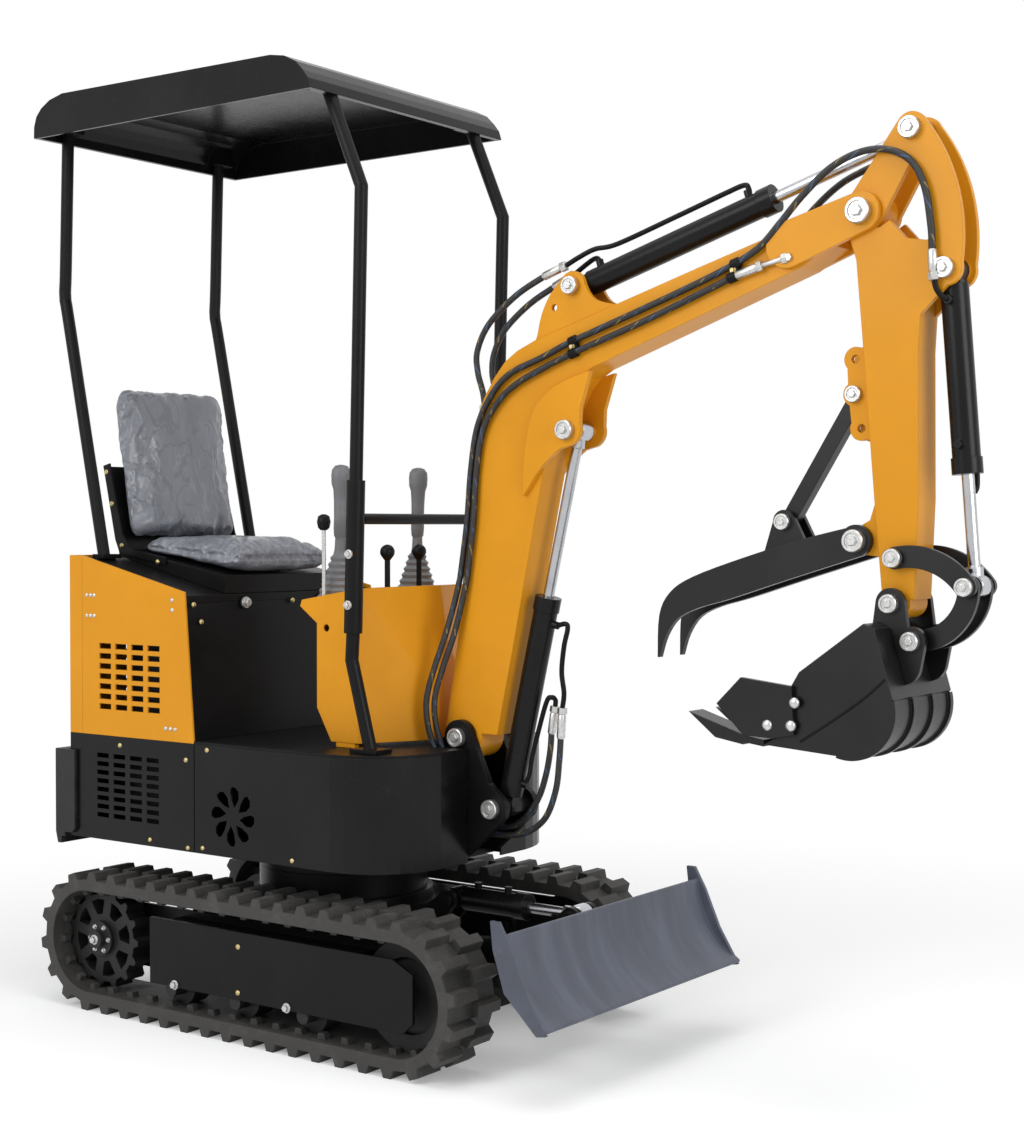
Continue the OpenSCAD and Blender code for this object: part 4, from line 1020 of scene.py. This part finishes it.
class Stage(bpy.types.Operator):
    """Set the floor, the lights and the camera of the photograph"""
    bl_idname = "excavator.stage"
    bl_label = "Stage"

    def execute(self, context):
        scene = context.scene
        scene.view_settings.view_transform = "Standard"
        bm = bmesh.new()
        bmesh.ops.create_circle(bm, cap_ends=True, segments=96, radius=40.0)
        floor = piece("floor", to_mesh(bm, "floor"), backdrop())
        world = bpy.data.worlds.new("studio")
        scene.world = world
        world.use_nodes = True
        tree = world.node_tree
        tree.nodes.clear()
        path, add = tree.nodes.new("ShaderNodeLightPath"), tree.nodes.new("ShaderNodeMath")
        more, mix = tree.nodes.new("ShaderNodeMath"), tree.nodes.new("ShaderNodeMixShader")
        lit, seen = tree.nodes.new("ShaderNodeBackground"), tree.nodes.new("ShaderNodeBackground")
        out = tree.nodes.new("ShaderNodeOutputWorld")
        more.use_clamp = True
        lit.inputs["Strength"].default_value = AMBIENT
        lit.inputs["Color"].default_value = (0.97, 0.985, 1.0, 1.0)
        seen.inputs["Strength"].default_value = 1.0
        seen.inputs["Color"].default_value = (1.0, 1.0, 1.0, 1.0)
        wire = tree.links.new
        wire(path.outputs["Is Camera Ray"], add.inputs[0])
        wire(path.outputs["Is Transmission Ray"], add.inputs[1])
        wire(add.outputs[0], more.inputs[0])
        wire(path.outputs["Is Glossy Ray"], more.inputs[1])
        wire(more.outputs[0], mix.inputs[0])
        wire(lit.outputs[0], mix.inputs[1])
        wire(seen.outputs[0], mix.inputs[2])
        wire(mix.outputs[0], out.inputs["Surface"])
        for name, spot, aim, size, power in LAMPS:
            lamp = bpy.data.lights.new(name, "AREA")
            lamp.size, lamp.energy = size, power
            item = bpy.data.objects.new(name, lamp)
            item.location = spot
            item.rotation_euler = (Vector(aim) - Vector(spot)).to_track_quat("-Z", "Y").to_euler()
            scene.collection.objects.link(item)
        lens = bpy.data.cameras.new("camera")
        lens.sensor_fit, lens.sensor_height, lens.lens = "VERTICAL", 36.0, CAMERA_LENS
        lens.clip_start, lens.clip_end = 0.05, 200.0
        camera = bpy.data.objects.new("camera", lens)
        camera.location = at(*CAMERA_AT)
        camera.rotation_euler = (math.radians(CAMERA_TILT), 0.0, math.radians(CAMERA_TURN))
        scene.collection.objects.link(camera)
        scene.camera = camera
        return {"FINISHED"}


class ExcavatorPanel(bpy.types.Panel):
    """Lists the steps and their settings"""
    bl_idname = "VIEW3D_PT_excavator"
    bl_label = "Excavator"
    bl_space_type = "VIEW_3D"
    bl_region_type = "UI"
    bl_category = "Excavator"

    def draw(self, context):
        for group in (context.scene.excavator_finish, context.scene.excavator_detail):
            for key in group.__annotations__:
                self.layout.prop(group, key)
        for step in STEPS:
            self.layout.operator(step.bl_idname)


STEPS = (Dress, Seat, Controls, PinCaps, Bolts, Hoses, Fittings, Stage)
CLASSES = (FinishSettings, DetailSettings, *STEPS, ExcavatorPanel)


def register():
    for item in CLASSES:
        bpy.utils.register_class(item)
    bpy.types.Scene.excavator_finish = PointerProperty(type=FinishSettings)
    bpy.types.Scene.excavator_detail = PointerProperty(type=DetailSettings)


def unregister():
    del bpy.types.Scene.excavator_detail
    del bpy.types.Scene.excavator_finish
    for item in reversed(CLASSES):
        bpy.utils.unregister_class(item)


def main():
    register()
    bpy.ops.excavator.dress()
    bpy.ops.excavator.seat()
    bpy.ops.excavator.controls()
    bpy.ops.excavator.pin_caps()
    bpy.ops.excavator.bolts()
    bpy.ops.excavator.hoses()
    bpy.ops.excavator.fittings()
    bpy.ops.excavator.stage()


if __name__ == "__main__":
    main()
